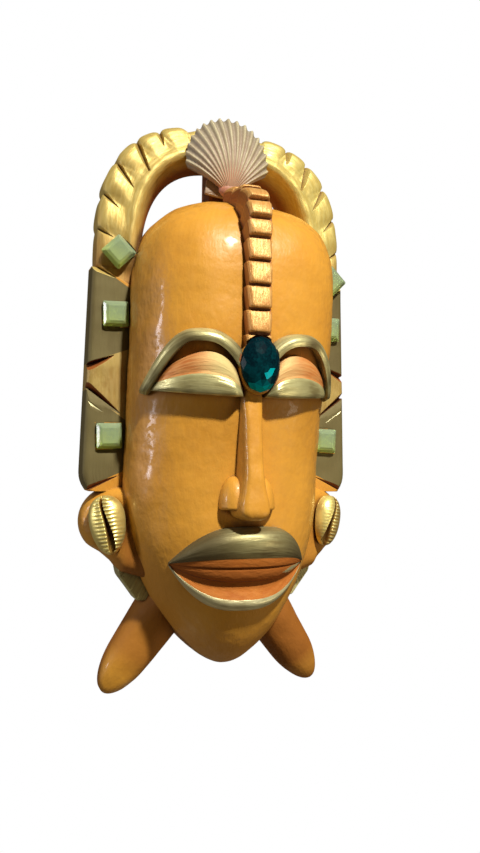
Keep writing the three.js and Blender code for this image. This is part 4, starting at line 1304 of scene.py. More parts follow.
@dataclass(frozen=True)
class GemSeats:
    """The pad between the eyes and the shallow seats that the gems are glued into."""

    offset: float = FACE_SHIFT + 1.3
    seat: float = 64.4
    centre: float = 16.3
    half_width: float = 8.6
    half_height: float = 11.7
    square: float = 11.6

    def oval(self, count: int, grow: float, drop: float = 0.0) -> Array:
        """An oval outline: cos and sin of the turn times the half width and half height.

        Args:
            count: how many points.
            grow: how much wider it is than the gem.
            drop: how much lower it lies.

        Returns:
            Points (count, 2) in x and z.
        """
        turn = whole_turn(count)
        x = self.offset + (self.half_width + grow) * np.cos(turn)
        return points_of(x, self.centre - drop + (self.half_height + grow) * np.sin(turn))

    def pad(self) -> Skin:
        """The raised oval pad under the large gem."""
        depths = (-54.0, -60.0, 0.9 - self.seat, 0.2 - self.seat, -self.seat)
        return loft(prism(self.oval(72, 0.0, 0.9), depths, (1.02, 1.01, 1.0, 0.96, 0.9)), Paint.OCHRE)

    def cutters(self) -> list[Skin]:
        """The oval seat and the six square ones.

        Returns:
            The cutters.
        """
        cuts = [loft(prism(self.oval(72, 0.6), (-self.seat, -self.seat - 10)), Paint.UMBER)]
        reach = (self.square / 2 + 0.4) * math.sqrt(2)
        for place in SQUARE_GEMS:
            turn = np.radians(np.array([45, 135, 225, 315]) - place.turn)
            outline = points_of(place.x + reach * np.cos(turn), place.z + reach * np.sin(turn))
            cuts.append(loft(prism(outline, (-place.seat, CUTTER_TOP)), Paint.OCHRE))
        return cuts


# Finishes


def rgb(red: int, green: int, blue: int) -> Colour:
    """A screen colour from 0 to 255 as linear light: (v + 0.055) / 1.055 to the power 2.4 above the toe.

    Args:
        red, green, blue: the colour's parts on the screen.

    Returns:
        The same three parts from 0 to 1.
    """
    values = np.array([red, green, blue]) / 255
    linear = np.where(values <= 0.04045, values / 12.92, ((values + 0.055) / 1.055) ** 2.4)
    return tuple(float(value) for value in linear)


@dataclass
class Board:
    """A node tree with short calls for placing and joining nodes."""

    tree: NodeTree

    def set(self, node: Node, inputs: dict[str | int, object]) -> None:
        """Joins sockets to a node's inputs, or sets the inputs' values.

        Args:
            node: a node of this tree.
            inputs: for each input, a socket to join to it or a value.
        """
        for key, value in inputs.items():
            if isinstance(value, Socket):
                self.tree.links.new(value, node.inputs[key])
            else:
                node.inputs[key].default_value = value

    def add(self, kind: str, inputs: dict[str | int, object] | None = None, **settings: object) -> Node:
        """Places a shader node.

        Args:
            kind: its type name, without the prefix that all of them have.
            inputs: for each input, a socket to join to it or a value to set.
            settings: the node's own settings.

        Returns:
            The node.
        """
        node = self.tree.nodes.new(f"ShaderNode{kind}")
        for name, value in settings.items():
            setattr(node, name, value)
        self.set(node, inputs or {})
        return node

    def group(self, tree: NodeTree, inputs: dict[str | int, object]) -> Node:
        """Places a shared effect with its own values."""
        return self.add("Group", inputs, node_tree=tree)

    def math(self, operation: str, a: object, b: object, clamp: bool = False) -> Socket:
        """One arithmetic step on two sockets or numbers."""
        return self.add("Math", {0: a, 1: b}, operation=operation, use_clamp=clamp).outputs[0]

    def span(self, value: object, low: float, high: float, onto: tuple[float, float] = (0.0, 1.0)) -> Socket:
        """The value's place between low and high, eased, carried over to another span."""
        inputs = {"Value": value, "From Min": low, "From Max": high, "To Min": onto[0], "To Max": onto[1]}
        return self.add("MapRange", inputs, interpolation_type="SMOOTHSTEP").outputs[0]

    def mix(self, share: object, a: object, b: object) -> Socket:
        """A mix of two colours.

        Args:
            share: how much of the second colour there is, from 0 to 1.
            a, b: the colours, as sockets or as three numbers.

        Returns:
            The mixed colour.
        """
        a, b = ((*colour, 1.0) if isinstance(colour, tuple) else colour for colour in (a, b))
        inputs = {0: share, 6: a, 7: b}
        return self.add("Mix", inputs, data_type="RGBA", clamp_factor=True).outputs[2]

    def noise(self, vector: object, scale: object, detail: float = 3.0) -> Socket:
        """Soft noise from 0 to 1 at a place."""
        return self.add("TexNoise", {"Vector": vector, "Scale": scale, "Detail": detail}).outputs[0]

    def place(self) -> Socket:
        """The place on the piece, in metres."""
        return self.add("TexCoord").outputs["Object"]

    def flow(self) -> Socket:
        """The lengths over the surface, across and along the brush strokes."""
        return self.add("UVMap", uv_map="flow").outputs[0]

    def tone(self) -> Socket:
        """The piece's tone from 0 to 1."""
        return self.add("Attribute", attribute_name="tone").outputs["Fac"]

    def openness(self, distance: float, inside: bool = False) -> Socket:
        """How open the space is within a distance in millimetres, outside or inside the surface."""
        inputs = {"Distance": distance * METRES}
        return self.add("AmbientOcclusion", inputs, samples=6, inside=inside).outputs["AO"]

    def bump(self, height: object, distance: float, more: dict[str | int, object]) -> Socket:
        """A relief of a depth in millimetres, with the bump node's other inputs."""
        inputs = {"Height": height, "Distance": distance * METRES, **more}
        return self.add("Bump", inputs).outputs[0]


def new_material(name: str) -> tuple[Material, Board, Node]:
    """An empty material.

    Args:
        name: the material's name.

    Returns:
        The material, a board on its nodes, and its shader.
    """
    material = bpy.data.materials.new(name)
    material.use_nodes = True
    return material, Board(material.node_tree), material.node_tree.nodes["Principled BSDF"]


def new_group(name: str, inputs: tuple[str, ...], outputs: tuple[str, ...]) -> tuple[Board, Node, Node]:
    """An empty shader node group with named sockets.

    Args:
        name: the group's name.
        inputs: names of its inputs, which are values but for Flow and Place.
        outputs: names of its value outputs.

    Returns:
        A board on the group, and its input and output nodes.
    """
    tree = bpy.data.node_groups.new(name, "ShaderNodeTree")
    for label in inputs:
        kind = "NodeSocketVector" if label in ("Flow", "Place") else "NodeSocketFloat"
        tree.interface.new_socket(name=label, in_out="INPUT", socket_type=kind)
    for label in outputs:
        tree.interface.new_socket(name=label, in_out="OUTPUT", socket_type="NodeSocketFloat")
    return Board(tree), tree.nodes.new("NodeGroupInput"), tree.nodes.new("NodeGroupOutput")


@dataclass(frozen=True)
class Effects:
    """The shared node groups: brush marks, mottling, grime with painted shade in hollows, worn edges."""

    brush: NodeTree
    mottle: NodeTree
    grime_and_shade: NodeTree
    wear: NodeTree

    @staticmethod
    def build() -> Effects:
        """Makes the four groups once.

        Returns:
            The effects.
        """
        grime_and_shade = Effects.closed_mask("grime_and_painted_shade_in_hollows", 0.35, 0.22, 0.85)
        wear = Effects.closed_mask("worn_edges", 0.8, 0.35, 0.9)
        return Effects(Effects.brush_marks(), Effects.mottling(), grime_and_shade, wear)

    @staticmethod
    def brush_marks() -> NodeTree:
        """Streaks along the flow: noise on the flow divided by a stroke's width and length in millimetres.

        Returns:
            The group, which gives the streaks and a finer grain in them.
        """
        board, source, sink = new_group("brush_marks", ("Flow", "Width", "Length"), ("Streak", "Fine"))
        across = board.math("DIVIDE", 1 / METRES, source.outputs["Width"])
        along = board.math("DIVIDE", 1 / METRES, source.outputs["Length"])
        stretch = board.add("CombineXYZ", {0: across, 1: along, 2: 1.0}).outputs[0]
        factors = {0: source.outputs["Flow"], 1: stretch}
        place = board.add("VectorMath", factors, operation="MULTIPLY")
        streak = board.noise(place.outputs[0], 1.0, 2.0)
        fine = board.noise(place.outputs[0], 3.1, 2.0)
        board.set(sink, {"Streak": board.span(streak, 0.32, 0.68), "Fine": fine})
        return board.tree

    @staticmethod
    def mottling() -> NodeTree:
        """Cloudy changes of a size in millimetres, and a fine grain a ninth of that size.

        Returns:
            The group, which gives the clouds and the grain.
        """
        board, source, sink = new_group("mottling", ("Place", "Size"), ("Cloud", "Grain"))
        scale = board.math("DIVIDE", 1 / METRES, source.outputs["Size"])
        cloud = board.noise(source.outputs["Place"], scale, 4.0)
        grain = board.noise(source.outputs["Place"], board.math("MULTIPLY", scale, 9.0))
        board.set(sink, {"Cloud": board.span(cloud, 0.36, 0.66), "Grain": grain})
        return board.tree

    @staticmethod
    def closed_mask(name: str, raggedness: float, low: float, high: float) -> NodeTree:
        """A mask of closed places: 1 - open, broken up by the grain and eased from low to high.

        Args:
            name: the group's name.
            raggedness: how far the grain moves the mask's edge.
            low, high: where the mask starts and where it is full.

        Returns:
            The group.
        """
        board, source, sink = new_group(name, ("Open", "Grain", "Amount"), ("Mask",))
        closed = board.math("SUBTRACT", 1.0, source.outputs["Open"])
        rough = board.math("MULTIPLY", board.math("SUBTRACT", source.outputs["Grain"], 0.5), raggedness)
        mask = board.span(board.math("ADD", closed, rough), low, high)
        board.set(sink, {"Mask": board.math("MULTIPLY", mask, source.outputs["Amount"], clamp=True)})
        return board.tree


@dataclass(frozen=True)
class PaintedWood:
    """A paint on the carved wood.

    base is its main colour, deep the colour of its thicker or older clouds, light its brighter streaks, low
    what it turns to where the tone is 0, which on many pieces is painted shade, and dirt_and_shade the
    colour of the grime and painted shade in its hollows. coat is a varnish over the highest tones, broken
    into patches by the grain.
    """

    name: str
    base: Colour
    deep: Colour
    light: Colour
    low: Colour
    dirt_and_shade: Colour
    metallic: float = 0.0
    roughness: float = 0.4
    coat: float = 0.0
    specular: float = 0.5
    cloud_size: float = 22.0
    cloud: float = 0.4
    streak: float = 0.3
    stroke_width: float = 1.3
    stroke_length: float = 9.0
    grime_and_shade: float = 0.8
    wear: float = 0.5
    relief: float = 0.16
    stroke_relief: float = 1.0
    dapple: float = 0.35
    soft_edge: float = 0.5

    def material(self, effects: Effects) -> Material:
        """Builds the material: clouds, then streaks, worn edges and grime with painted shade, and brush
        relief.

        Args:
            effects: the shared node groups.

        Returns:
            The material.
        """
        material, board, shader = new_material(self.name)
        tone = board.tone()
        mottle = board.group(effects.mottle, {"Place": board.place(), "Size": self.cloud_size})
        grain = mottle.outputs["Grain"]
        strokes = {"Flow": board.flow(), "Width": self.stroke_width, "Length": self.stroke_length}
        marks = board.group(effects.brush, strokes)
        # grime and painted shade: the dirt_and_shade colour covers places closed within 4.5 mm
        hollow = {"Open": board.openness(4.5), "Grain": grain, "Amount": self.grime_and_shade}
        grime_and_shade = board.group(effects.grime_and_shade, hollow).outputs["Mask"]
        edge = {"Open": board.openness(1.3, inside=True), "Grain": grain, "Amount": self.wear}
        wear = board.group(effects.wear, edge).outputs["Mask"]

        cloud_share = board.math("MULTIPLY", mottle.outputs["Cloud"], self.cloud)
        colour = board.mix(cloud_share, self.base, self.deep)
        streak_share = board.math("MULTIPLY", marks.outputs["Streak"], self.streak)
        colour = board.mix(streak_share, colour, self.light)
        # a low tone turns the paint to its low colour, which on many pieces is painted shade
        lowness = board.math("SUBTRACT", 1.0, tone)
        colour = board.mix(lowness, colour, self.low)
        colour = board.mix(wear, colour, self.light)

        uneven = board.math("MULTIPLY", board.math("SUBTRACT", grain, 0.5), 0.25)
        rough = board.math("ADD", uneven, self.roughness)
        rough = board.math("ADD", rough, board.math("MULTIPLY", grime_and_shade, 0.2))
        rough = board.math("ADD", rough, board.math("MULTIPLY", lowness, 0.3))
        fine = board.math("MULTIPLY", marks.outputs["Fine"], 0.6)
        relief = board.math("ADD", marks.outputs["Streak"], fine)
        relief = board.math("MULTIPLY", relief, self.stroke_relief)
        relief = board.math("ADD", relief, board.math("MULTIPLY", grain, self.dapple))
        soft = board.add("Bevel", {"Radius": self.soft_edge * METRES}, samples=4).outputs[0]
        looks = {
            "Base Color": board.mix(grime_and_shade, colour, self.dirt_and_shade),
            "Roughness": rough,
            "Coat Roughness": 0.15,
            "Specular IOR Level": self.specular,
            "Normal": board.bump(relief, self.relief, {"Normal": soft}),
        }
        if self.metallic > 0:
            looks["Metallic"] = board.span(grime_and_shade, 0.0, 0.9, (self.metallic, self.metallic * 0.3))
        if self.coat > 0:
            varnish = board.span(tone, 0.8, 1.0, (0.0, self.coat))
            looks["Coat Weight"] = board.math("MULTIPLY", varnish, board.span(grain, 0.44, 0.6))
        board.set(shader, looks)
        return material


@dataclass(frozen=True)
class CutGlass:
    """Coloured glass, see-through by plain shader values, whose facets run from dark to light by their tone.

    On the gems the tone is painted light. cloud is how far the grain changes the tint, and unevenness the
    depth of its ripples in millimetres.
    """

    name: str
    dark: Colour
    light: Colour
    transmission: float
    roughness: float
    specular: float = 0.5
    cloud: float = 0.5
    unevenness: float = 0.05

    def material(self, effects: Effects) -> Material:
        """Builds the glass: its tint follows the tone and is clouded a little, and its faces are uneven.

        Args:
            effects: the shared node groups.

        Returns:
            The material.
        """
        material, board, shader = new_material(self.name)
        grain = board.group(effects.mottle, {"Place": board.place(), "Size": 9.0}).outputs["Grain"]
        cloud = board.math("MULTIPLY", board.math("SUBTRACT", grain, 0.5), self.cloud)
        lightness = board.math("ADD", board.tone(), cloud, clamp=True)
        looks = {
            "Base Color": board.mix(lightness, self.dark, self.light),
            "Metallic": 0.0,
            "Transmission Weight": self.transmission,
            "Roughness": self.roughness,
            "IOR": 1.5,
            "Specular IOR Level": self.specular,
            "Normal": board.bump(grain, self.unevenness, {"Strength": 0.5}),
        }
        board.set(shader, looks)
        return material


@dataclass(frozen=True)
class ShellFinish:
    """The surface of a sea shell.

    near, middle and far are its colours by tone, middle_at the tone of the middle one, ridge the colour of
    its ribs or teeth, and stain_and_shade the colour of its darker clouds and of the grime and painted shade
    in its hollows, its slit among them.
    """

    name: str
    near: Colour
    middle: Colour
    far: Colour
    ridge: Colour
    stain_and_shade: Colour
    metallic: float
    roughness: float
    middle_at: float

    def material(self, effects: Effects) -> Material:
        """Builds the material: colours by tone, lighter ridges, clouds, grime with painted shade, and a fine
        relief.

        Args:
            effects: the shared node groups.

        Returns:
            The material.
        """
        material, board, shader = new_material(self.name)
        mottle = board.group(effects.mottle, {"Place": board.place(), "Size": 6.0})
        grain = mottle.outputs["Grain"]
        ramp = board.add("ValToRGB", {"Fac": board.tone()})
        stops = ramp.color_ramp.elements
        stops[0].color = (*self.near, 1.0)
        stops[1].color = (*self.far, 1.0)
        stops.new(self.middle_at).color = (*self.middle, 1.0)
        rib = board.math("MULTIPLY", board.add("SeparateXYZ", {0: board.flow()}).outputs[0], 10.0)
        colour = board.mix(board.span(rib, 0.35, 0.85), ramp.outputs[0], self.ridge)
        colour = board.mix(board.math("MULTIPLY", mottle.outputs["Cloud"], 0.35), colour, self.stain_and_shade)
        # grime and painted shade: stain_and_shade covers places closed within 2.2 mm, such as the cowrie's
        # slit
        hollow = {"Open": board.openness(2.2), "Grain": grain, "Amount": 0.85}
        grime_and_shade = board.group(effects.grime_and_shade, hollow).outputs["Mask"]
        looks = {
            "Base Color": board.mix(grime_and_shade, colour, self.stain_and_shade),
            "Metallic": self.metallic,
            "Roughness": board.math("ADD", board.math("MULTIPLY", grain, 0.2), self.roughness - 0.1),
            "Normal": board.bump(grain, 0.05, {"Strength": 0.6}),
        }
        board.set(shader, looks)
        return material


# Ornaments


@dataclass(frozen=True)
class SquareStone:
    """A square cut gem with a bevelled crown, small table and dished back, facing forward."""

    side: float = 11.6
    height: float = 3.6
    corner: float = 0.55

    def outline(self, half: float) -> Array:
        """A square of eight points with its corners cut off.

        Args:
            half: half its width.

        Returns:
            Points (8, 2).
        """
        c = self.corner * half / (self.side / 2)
        ring = [[half, -half + c], [half, half - c], [half - c, half], [-half + c, half]]
        ring += [[-half, half - c], [-half, -half + c], [-half + c, -half], [half - c, -half]]
        return np.array(ring)

    def skin(self, place: GemPlace) -> Skin:
        """The stone in its seat: rings of the outline, turned and moved there, with painted light in its
        tone.

        Args:
            place: where the gem sits.

        Returns:
            The skin.
        """
        half = self.side / 2
        steps = (
            (0.3, -1.0), (half * 0.62, -0.35), (half - 0.45, 0.0), (half - 0.05, -0.45), (half, -0.7),
            (half, -1.35), (half * 0.97, -1.5), (half * 0.79, -2.85), (half * 0.61, -3.5),
            (half * 0.58, -self.height),
        )
        flat = np.stack([self.outline(size) for size, _ in steps])
        turn = math.radians(-place.turn)
        x = place.x + flat[..., 0] * math.cos(turn) - flat[..., 1] * math.sin(turn)
        z = place.z + flat[..., 0] * math.sin(turn) + flat[..., 1] * math.cos(turn)
        y = np.array([depth for _, depth in steps])[:, None] - place.seat - GLUE_GAP
        # painted light: the tone is higher towards the lower left and the rim of the stone
        low = ((place.z - z) + 0.45 * (place.x - x)) / half
        rim = smooth(np.hypot(x - place.x, z - place.z), half * 0.55, half * 1.1)
        tone = np.clip(0.15 + 0.75 * low * rim + 0.1 * rim, 0.0, 1.0)
        return loft(points_of(x, y, z), tone=tone)

    def make(self, place: GemPlace, glass: Material) -> Object:
        """One gem with flat facets.

        Args:
            place: where the gem sits.
            glass: its material.

        Returns:
            The piece.
        """
        gem = facet(make_object(f"{place.node}_glass", self.skin(place), [glass]))
        dress(gem, place.node)
        return gem


@dataclass(frozen=True)
class OvalStone:
    """The large oval gem with rows of kite facets round a small table."""

    seats: GemSeats
    facets: int = 12
    rows: tuple[tuple[float, float], ...] = (
        (0.62, -0.9), (0.965, 0.0), (1.01, -0.8), (0.96, -2.0), (0.82, -3.6), (0.6, -4.9), (0.35, -5.7),
        (0.13, -6.0),
    )

    def make(self, glass: Material) -> Object:
        """The gem: rings of the oval, every second one turned by half a facet, joined by flat triangles.

        Args:
            glass: its material.

        Returns:
            The piece.
        """
        rings = []
        for i, (scale, y) in enumerate(self.rows):
            turn = (np.arange(self.facets) + 0.5 * (i % 2)) * 2 * math.pi / self.facets
            x = self.seats.offset + self.seats.half_width * scale * np.cos(turn)
            z = self.seats.centre + self.seats.half_height * scale * np.sin(turn)
            rings.append(points_of(x, y - self.seats.seat - GLUE_GAP, z))
        skin = self.stitched(np.stack(rings))
        gem = facet(make_object("oval_gem_glass", skin, [glass]))
        dress(gem, "oval_gem")
        return gem

    def stitched(self, rings: Array) -> Skin:
        """Joins the half-turned rings: each step of one has a triangle to the point between on the next.

        The tone is drawn at random for each kite, whose two triangles share it. All are dark, a little less
        so towards the bottom as painted light, but for a painted highlight on one low on the right and a
        painted glow on the ones along the lower rim.

        Args:
            rings: points (rows, columns, 3).

        Returns:
            The skin.
        """
        rows, count, _ = rings.shape
        index = np.arange(rows * count).reshape(rows, count)
        column = np.arange(count)
        kite = np.random.default_rng(11).random((rows + 1, count))
        faces, tones = [], []
        for i in range(rows - 1):
            here, there, odd = index[i], index[i + 1], i % 2
            near, far = np.roll(there, -odd), np.roll(there, 1 - odd)
            faces += [points_of(here, np.roll(here, -1), near), points_of(here, near, far)]
            tones += [kite[i, (column + odd) % count], kite[i + 1, column]]
        points = np.concatenate([rings.reshape(-1, 3), rings[0].mean(0)[None], rings[-1].mean(0)[None]])
        first = points_of(rows * count, np.roll(index[0], -1), index[0])
        last = points_of(rows * count + 1, index[-1], np.roll(index[-1], -1))
        fans = np.concatenate([*faces, first, last])
        tone = np.concatenate([*tones, np.full(2 * count, 0.3)])
        middle = points[fans].mean(axis=1)
        across = (middle[:, 0] - self.seats.offset) / self.seats.half_width
        down = (self.seats.centre - middle[:, 2]) / self.seats.half_height
        # painted light: lighter to the bottom, a painted highlight low on the right, a painted glow on the
        # rim
        kite_tone_and_painted_light = (0.01 + 0.05 * tone) * (0.35 + 0.8 * smooth(down, -0.9, 0.6))
        painted_highlight = (np.hypot(across - 0.3, down - 0.36) < 0.2) * 0.8
        painted_glow = 0.9 * smooth(down, 0.6, 0.9) * (np.abs(across) < 0.5)
        tone = np.clip(kite_tone_and_painted_light + painted_highlight + painted_glow, 0.0, 1.0)
        none, flow, paints = np.zeros((0, 4), int), np.zeros((len(points), 2)), np.zeros(len(fans), int)
        return Skin(points, none, fans, flow, np.ones(len(points)), paints, tone).facing_out()


@dataclass(frozen=True)
class Cowrie:
    """A gilded cowrie shell with a toothed slit, glued to an ear lobe."""

    node: str
    side: float
    x: float
    z: float
    tilt: float
    size: float
    ears: EarsAndLegs
    length: float = 27.0
    width: float = 16.6
    height: float = 9.0
    back_share: float = 0.22
    pitch: float = 1.75

    def skin(self) -> Skin:
        """The shell as rings along its length.

        Each ring runs over the front from rim to rim, with its middle column on the slit, and back under the
        shell. The slit runs aslant and is widest in its lower third. It is a trench whose lips curl in,
        crossed by teeth, a cosine along the length that fades away from the slit. Its tone is painted shade:
        low in the trench, and lower on one side of the slit, most on the right shell.

        Returns:
            The skin.
        """
        t = np.sin(np.linspace(-1, 1, 150) * math.pi / 2)[:, None] * 0.997
        size = (1 - np.abs(t) ** 2.3) ** 0.5
        half = (self.width / 2) * size * (1 + 0.17 * t)
        height = self.height * (0.25 + 0.75 * size)
        z = self.length / 2 * t
        v = np.linspace(-1, 1, 121)[None, :]
        slant = 2.8 + 0.5 * self.side
        slit = -self.side * (1.6 + 0.5 * self.side + 0.5 * np.cos(t * 2.4) - slant * t) * size
        share = signed_power(v, 1.25)
        x = slit + np.where(v < 0, (half + slit) * share, (half - slit) * share)
        across = np.clip(np.abs(x) / np.maximum(half, 1e-6), 0, 1)
        y = -height * (1 - self.back_share) * np.maximum(1 - across**2.3, 0.0) ** (1 / 2.3)
        away = np.abs(x - slit)
        opening = (0.5 + 1.9 * smooth(-t, -0.7, 0.55)) * (1 - smooth(np.abs(t), 0.78, 0.96))
        opening = opening * (0.66 - 0.04 * self.side)
        trench = 1 - smooth(away, opening * 0.55, opening * 0.55 + 0.75)
        teeth = (0.5 + 0.5 * np.cos(2 * math.pi * z / self.pitch)) ** 0.8
        near = np.exp(-((np.maximum(away - opening - 0.4, 0.0) / 2.9) ** 2))
        near = near * (1 - smooth(np.abs(t), 0.88, 0.96))
        near = near * (1 - trench) * np.where(v * self.side < 0, 0.65 - 0.35 * self.side, 0.7)
        swell = 0.45 * np.exp(-(((away - opening - 1.6) / 2.6) ** 2)) * size
        y = y - swell - 0.65 * (teeth - 0.5) * near + 3.0 * trench * size
        turn = np.linspace(0, math.pi, 42)[None, 1:-1]
        under_x = half * np.cos(turn)
        under_y = height * self.back_share * np.sin(turn)
        x = np.concatenate([x, under_x], axis=1)
        y = np.concatenate([y, under_y], axis=1)
        local = points_of(x, y, z) * self.size
        # painted shadow on one side of the slit, darker on the right shell; painted shade in the trench
        shadow = np.where(v > 0, 0.66 - 0.14 * self.side, 1.0)
        tone = (1 - smooth(trench, 0.0, 0.5) * size) * shadow
        ridge = (0.5 + (teeth - 0.5) * near * 0.9) * (1 - 0.8 * trench)
        tone = np.concatenate([tone, np.ones_like(under_x)], axis=1)
        ridge = np.concatenate([ridge, np.full_like(under_x, 0.5)], axis=1)
        flow = points_of(ridge * 100, z)
        return loft(self.placed(local), tone=tone, flow=flow)

    def placed(self, local: Array) -> Array:
        """The shell tilted about y, turned about z with the lobe's face and moved on to it.

        Args:
            local: points of the shell about its own middle.

        Returns:
            The points on the lobe.
        """
        angle = math.radians(self.side * self.ears.ear_turn)
        lean = math.radians(self.side * self.tilt)
        x = local[..., 0] * math.cos(lean) + local[..., 2] * math.sin(lean)
        z = -local[..., 0] * math.sin(lean) + local[..., 2] * math.cos(lean)
        y = local[..., 1]
        stand = self.height * self.back_share * self.size + GLUE_GAP
        slope = math.tan(math.radians(self.ears.ear_turn))
        depth = self.ears.ear_depth - slope * (self.x - self.ears.ear_middle)
        return points_of(
            x * math.cos(angle) - y * math.sin(angle) + self.side * self.x + stand * math.sin(angle),
            x * math.sin(angle) + y * math.cos(angle) - depth - stand * math.cos(angle),
            z + self.z,
        )

    def make(self, shell: Material) -> Object:
        """One shell with its teeth.

        Args:
            shell: its material.

        Returns:
            The piece.
        """
        piece = shade(make_object(f"{self.node}_shell", self.skin(), [shell]), math.radians(60))
        dress(piece, self.node)
        return piece


@dataclass(frozen=True)
class Scallop:
    """The scallop on the crown: a thin ribbed fan with its hinge at the bottom."""

    x: float = -1.2
    z: float = 100.0
    radius: float = 20.2
    hinge: float = 17.0
    ribs: int = 17
    spread: float = 57.0
    bulge: float = 8.5
    thickness: float = 1.5

    def fan(self) -> Skin:
        """The fan as rings at turns from side to side, each out along the front to the rim and back inside.

        Reach is the distance from the hinge to a circle, longer on the ribs, the bulge follows a sine of the
        share out from the hinge, and the ribs are sin ** 2.6 across the fan, growing outwards.

        Returns:
            The skin.
        """
        turns, outs = self.ribs * 14, 64
        spread = math.radians(self.spread)
        angle = np.linspace(-spread, spread, turns)[:, None]
        phase = (angle + spread) / (2 * spread) * self.ribs
        rib = np.abs(np.sin(math.pi * phase)) ** 2.6
        reach = self.hinge * np.cos(angle) + np.sqrt(self.radius**2 - (self.hinge * np.sin(angle)) ** 2)
        reach = reach * (0.985 + 0.035 * rib)
        out = (0.07 + 0.93 * np.linspace(0, 1, outs))[None, :]
        rounding = np.cos(angle * 0.95) ** 0.7
        bulge = self.bulge * rounding * arc(math.pi * (0.28 + 0.72 * out) ** 1.15, 0.85)
        growth = 0.06 * np.sin(out * 95) * smooth(out, 0.3, 0.6)
        ridge = 0.85 * rib * out
        front = -(np.maximum(bulge + ridge, 0) + self.thickness + growth)
        inner = -np.maximum(bulge - 0.2 + ridge * 0.4, 0)
        along = reach * out
        inside = along - self.thickness * np.where(out >= out.max(), 0.3, 0.5)
        x = there_and_back(along * np.sin(angle), inside * np.sin(angle))
        z = there_and_back(along * np.cos(angle), inside * np.cos(angle))
        y = there_and_back(front, inner)
        rings = points_of(x + self.x, y - RIDGE_DEPTH - GLUE_GAP, z + self.z)
        flow = points_of(np.broadcast_to(rib * 100, x.shape), phase * 5)
        return loft(rings, tone=there_and_back(out, out), flow=flow)

    def ears(self) -> Skin:
        """The two small ears of the hinge as one thin plate, thinner to its upper edge.

        Returns:
            The skin.
        """
        corners = np.array(
            [[-11.5, 0.2], [-10.4, 7.6], [-4, 5.6], [4, 5.6], [10.4, 7.6], [11.5, 0.2], [3, -1], [-3, -1]]
        )
        outline = softened(corners + [self.x, self.z], 0.6, 1)
        depths = tuple(-RIDGE_DEPTH - GLUE_GAP - y for y in (2.2, 2.4, 3.5, 3.8))
        rings = prism(outline, depths, (0.97, 1.0, 1.0, 0.95))
        ribs = 0.18 * np.sin((rings[..., 0] - self.x) * 4.2)
        rings[2:, :, 1] += ribs[2:]
        return loft(rings, tone=np.full(rings.shape[:2], 0.55), flow=np.full((*rings.shape[:2], 2), 40.0))

    def knob(self) -> Skin:
        """The swollen beak of the hinge: an egg of circles, (1 - t ** 2) ** 0.5 wide.

        Returns:
            The skin.
        """
        shape = (40, 60)
        t = np.linspace(-0.995, 0.995, shape[0])[:, None]
        size = (1 - t**2) ** 0.5
        turn = whole_turn(shape[1])[None, :]
        x = self.x + 5.2 * size * np.cos(turn)
        ribs = 0.12 * np.cos(turn * 20) * smooth(t, -0.6, 0.6)
        y = -RIDGE_DEPTH - GLUE_GAP - 5.4 - (3.2 + ribs) * size * np.sin(turn)
        z = self.z + 2.6 + 4 * t
        return loft(points_of(x, y, z), tone=np.full(shape, 0.02), flow=np.full((*shape, 2), 50.0))

    def make(self, shell: Material) -> Object:
        """The fan, its ears and its beak joined into one shell.

        Args:
            shell: its material.

        Returns:
            The piece.
        """
        piece = make_object("scallop_fan", self.fan(), [shell])
        parts = [make_object("ears", self.ears(), [shell]), make_object("beak", self.knob(), [shell])]
        shade(carve(piece, "UNION", parts), math.radians(50))
        dress(piece, "scallop_shell")
        return piece


# The mask as one carved piece


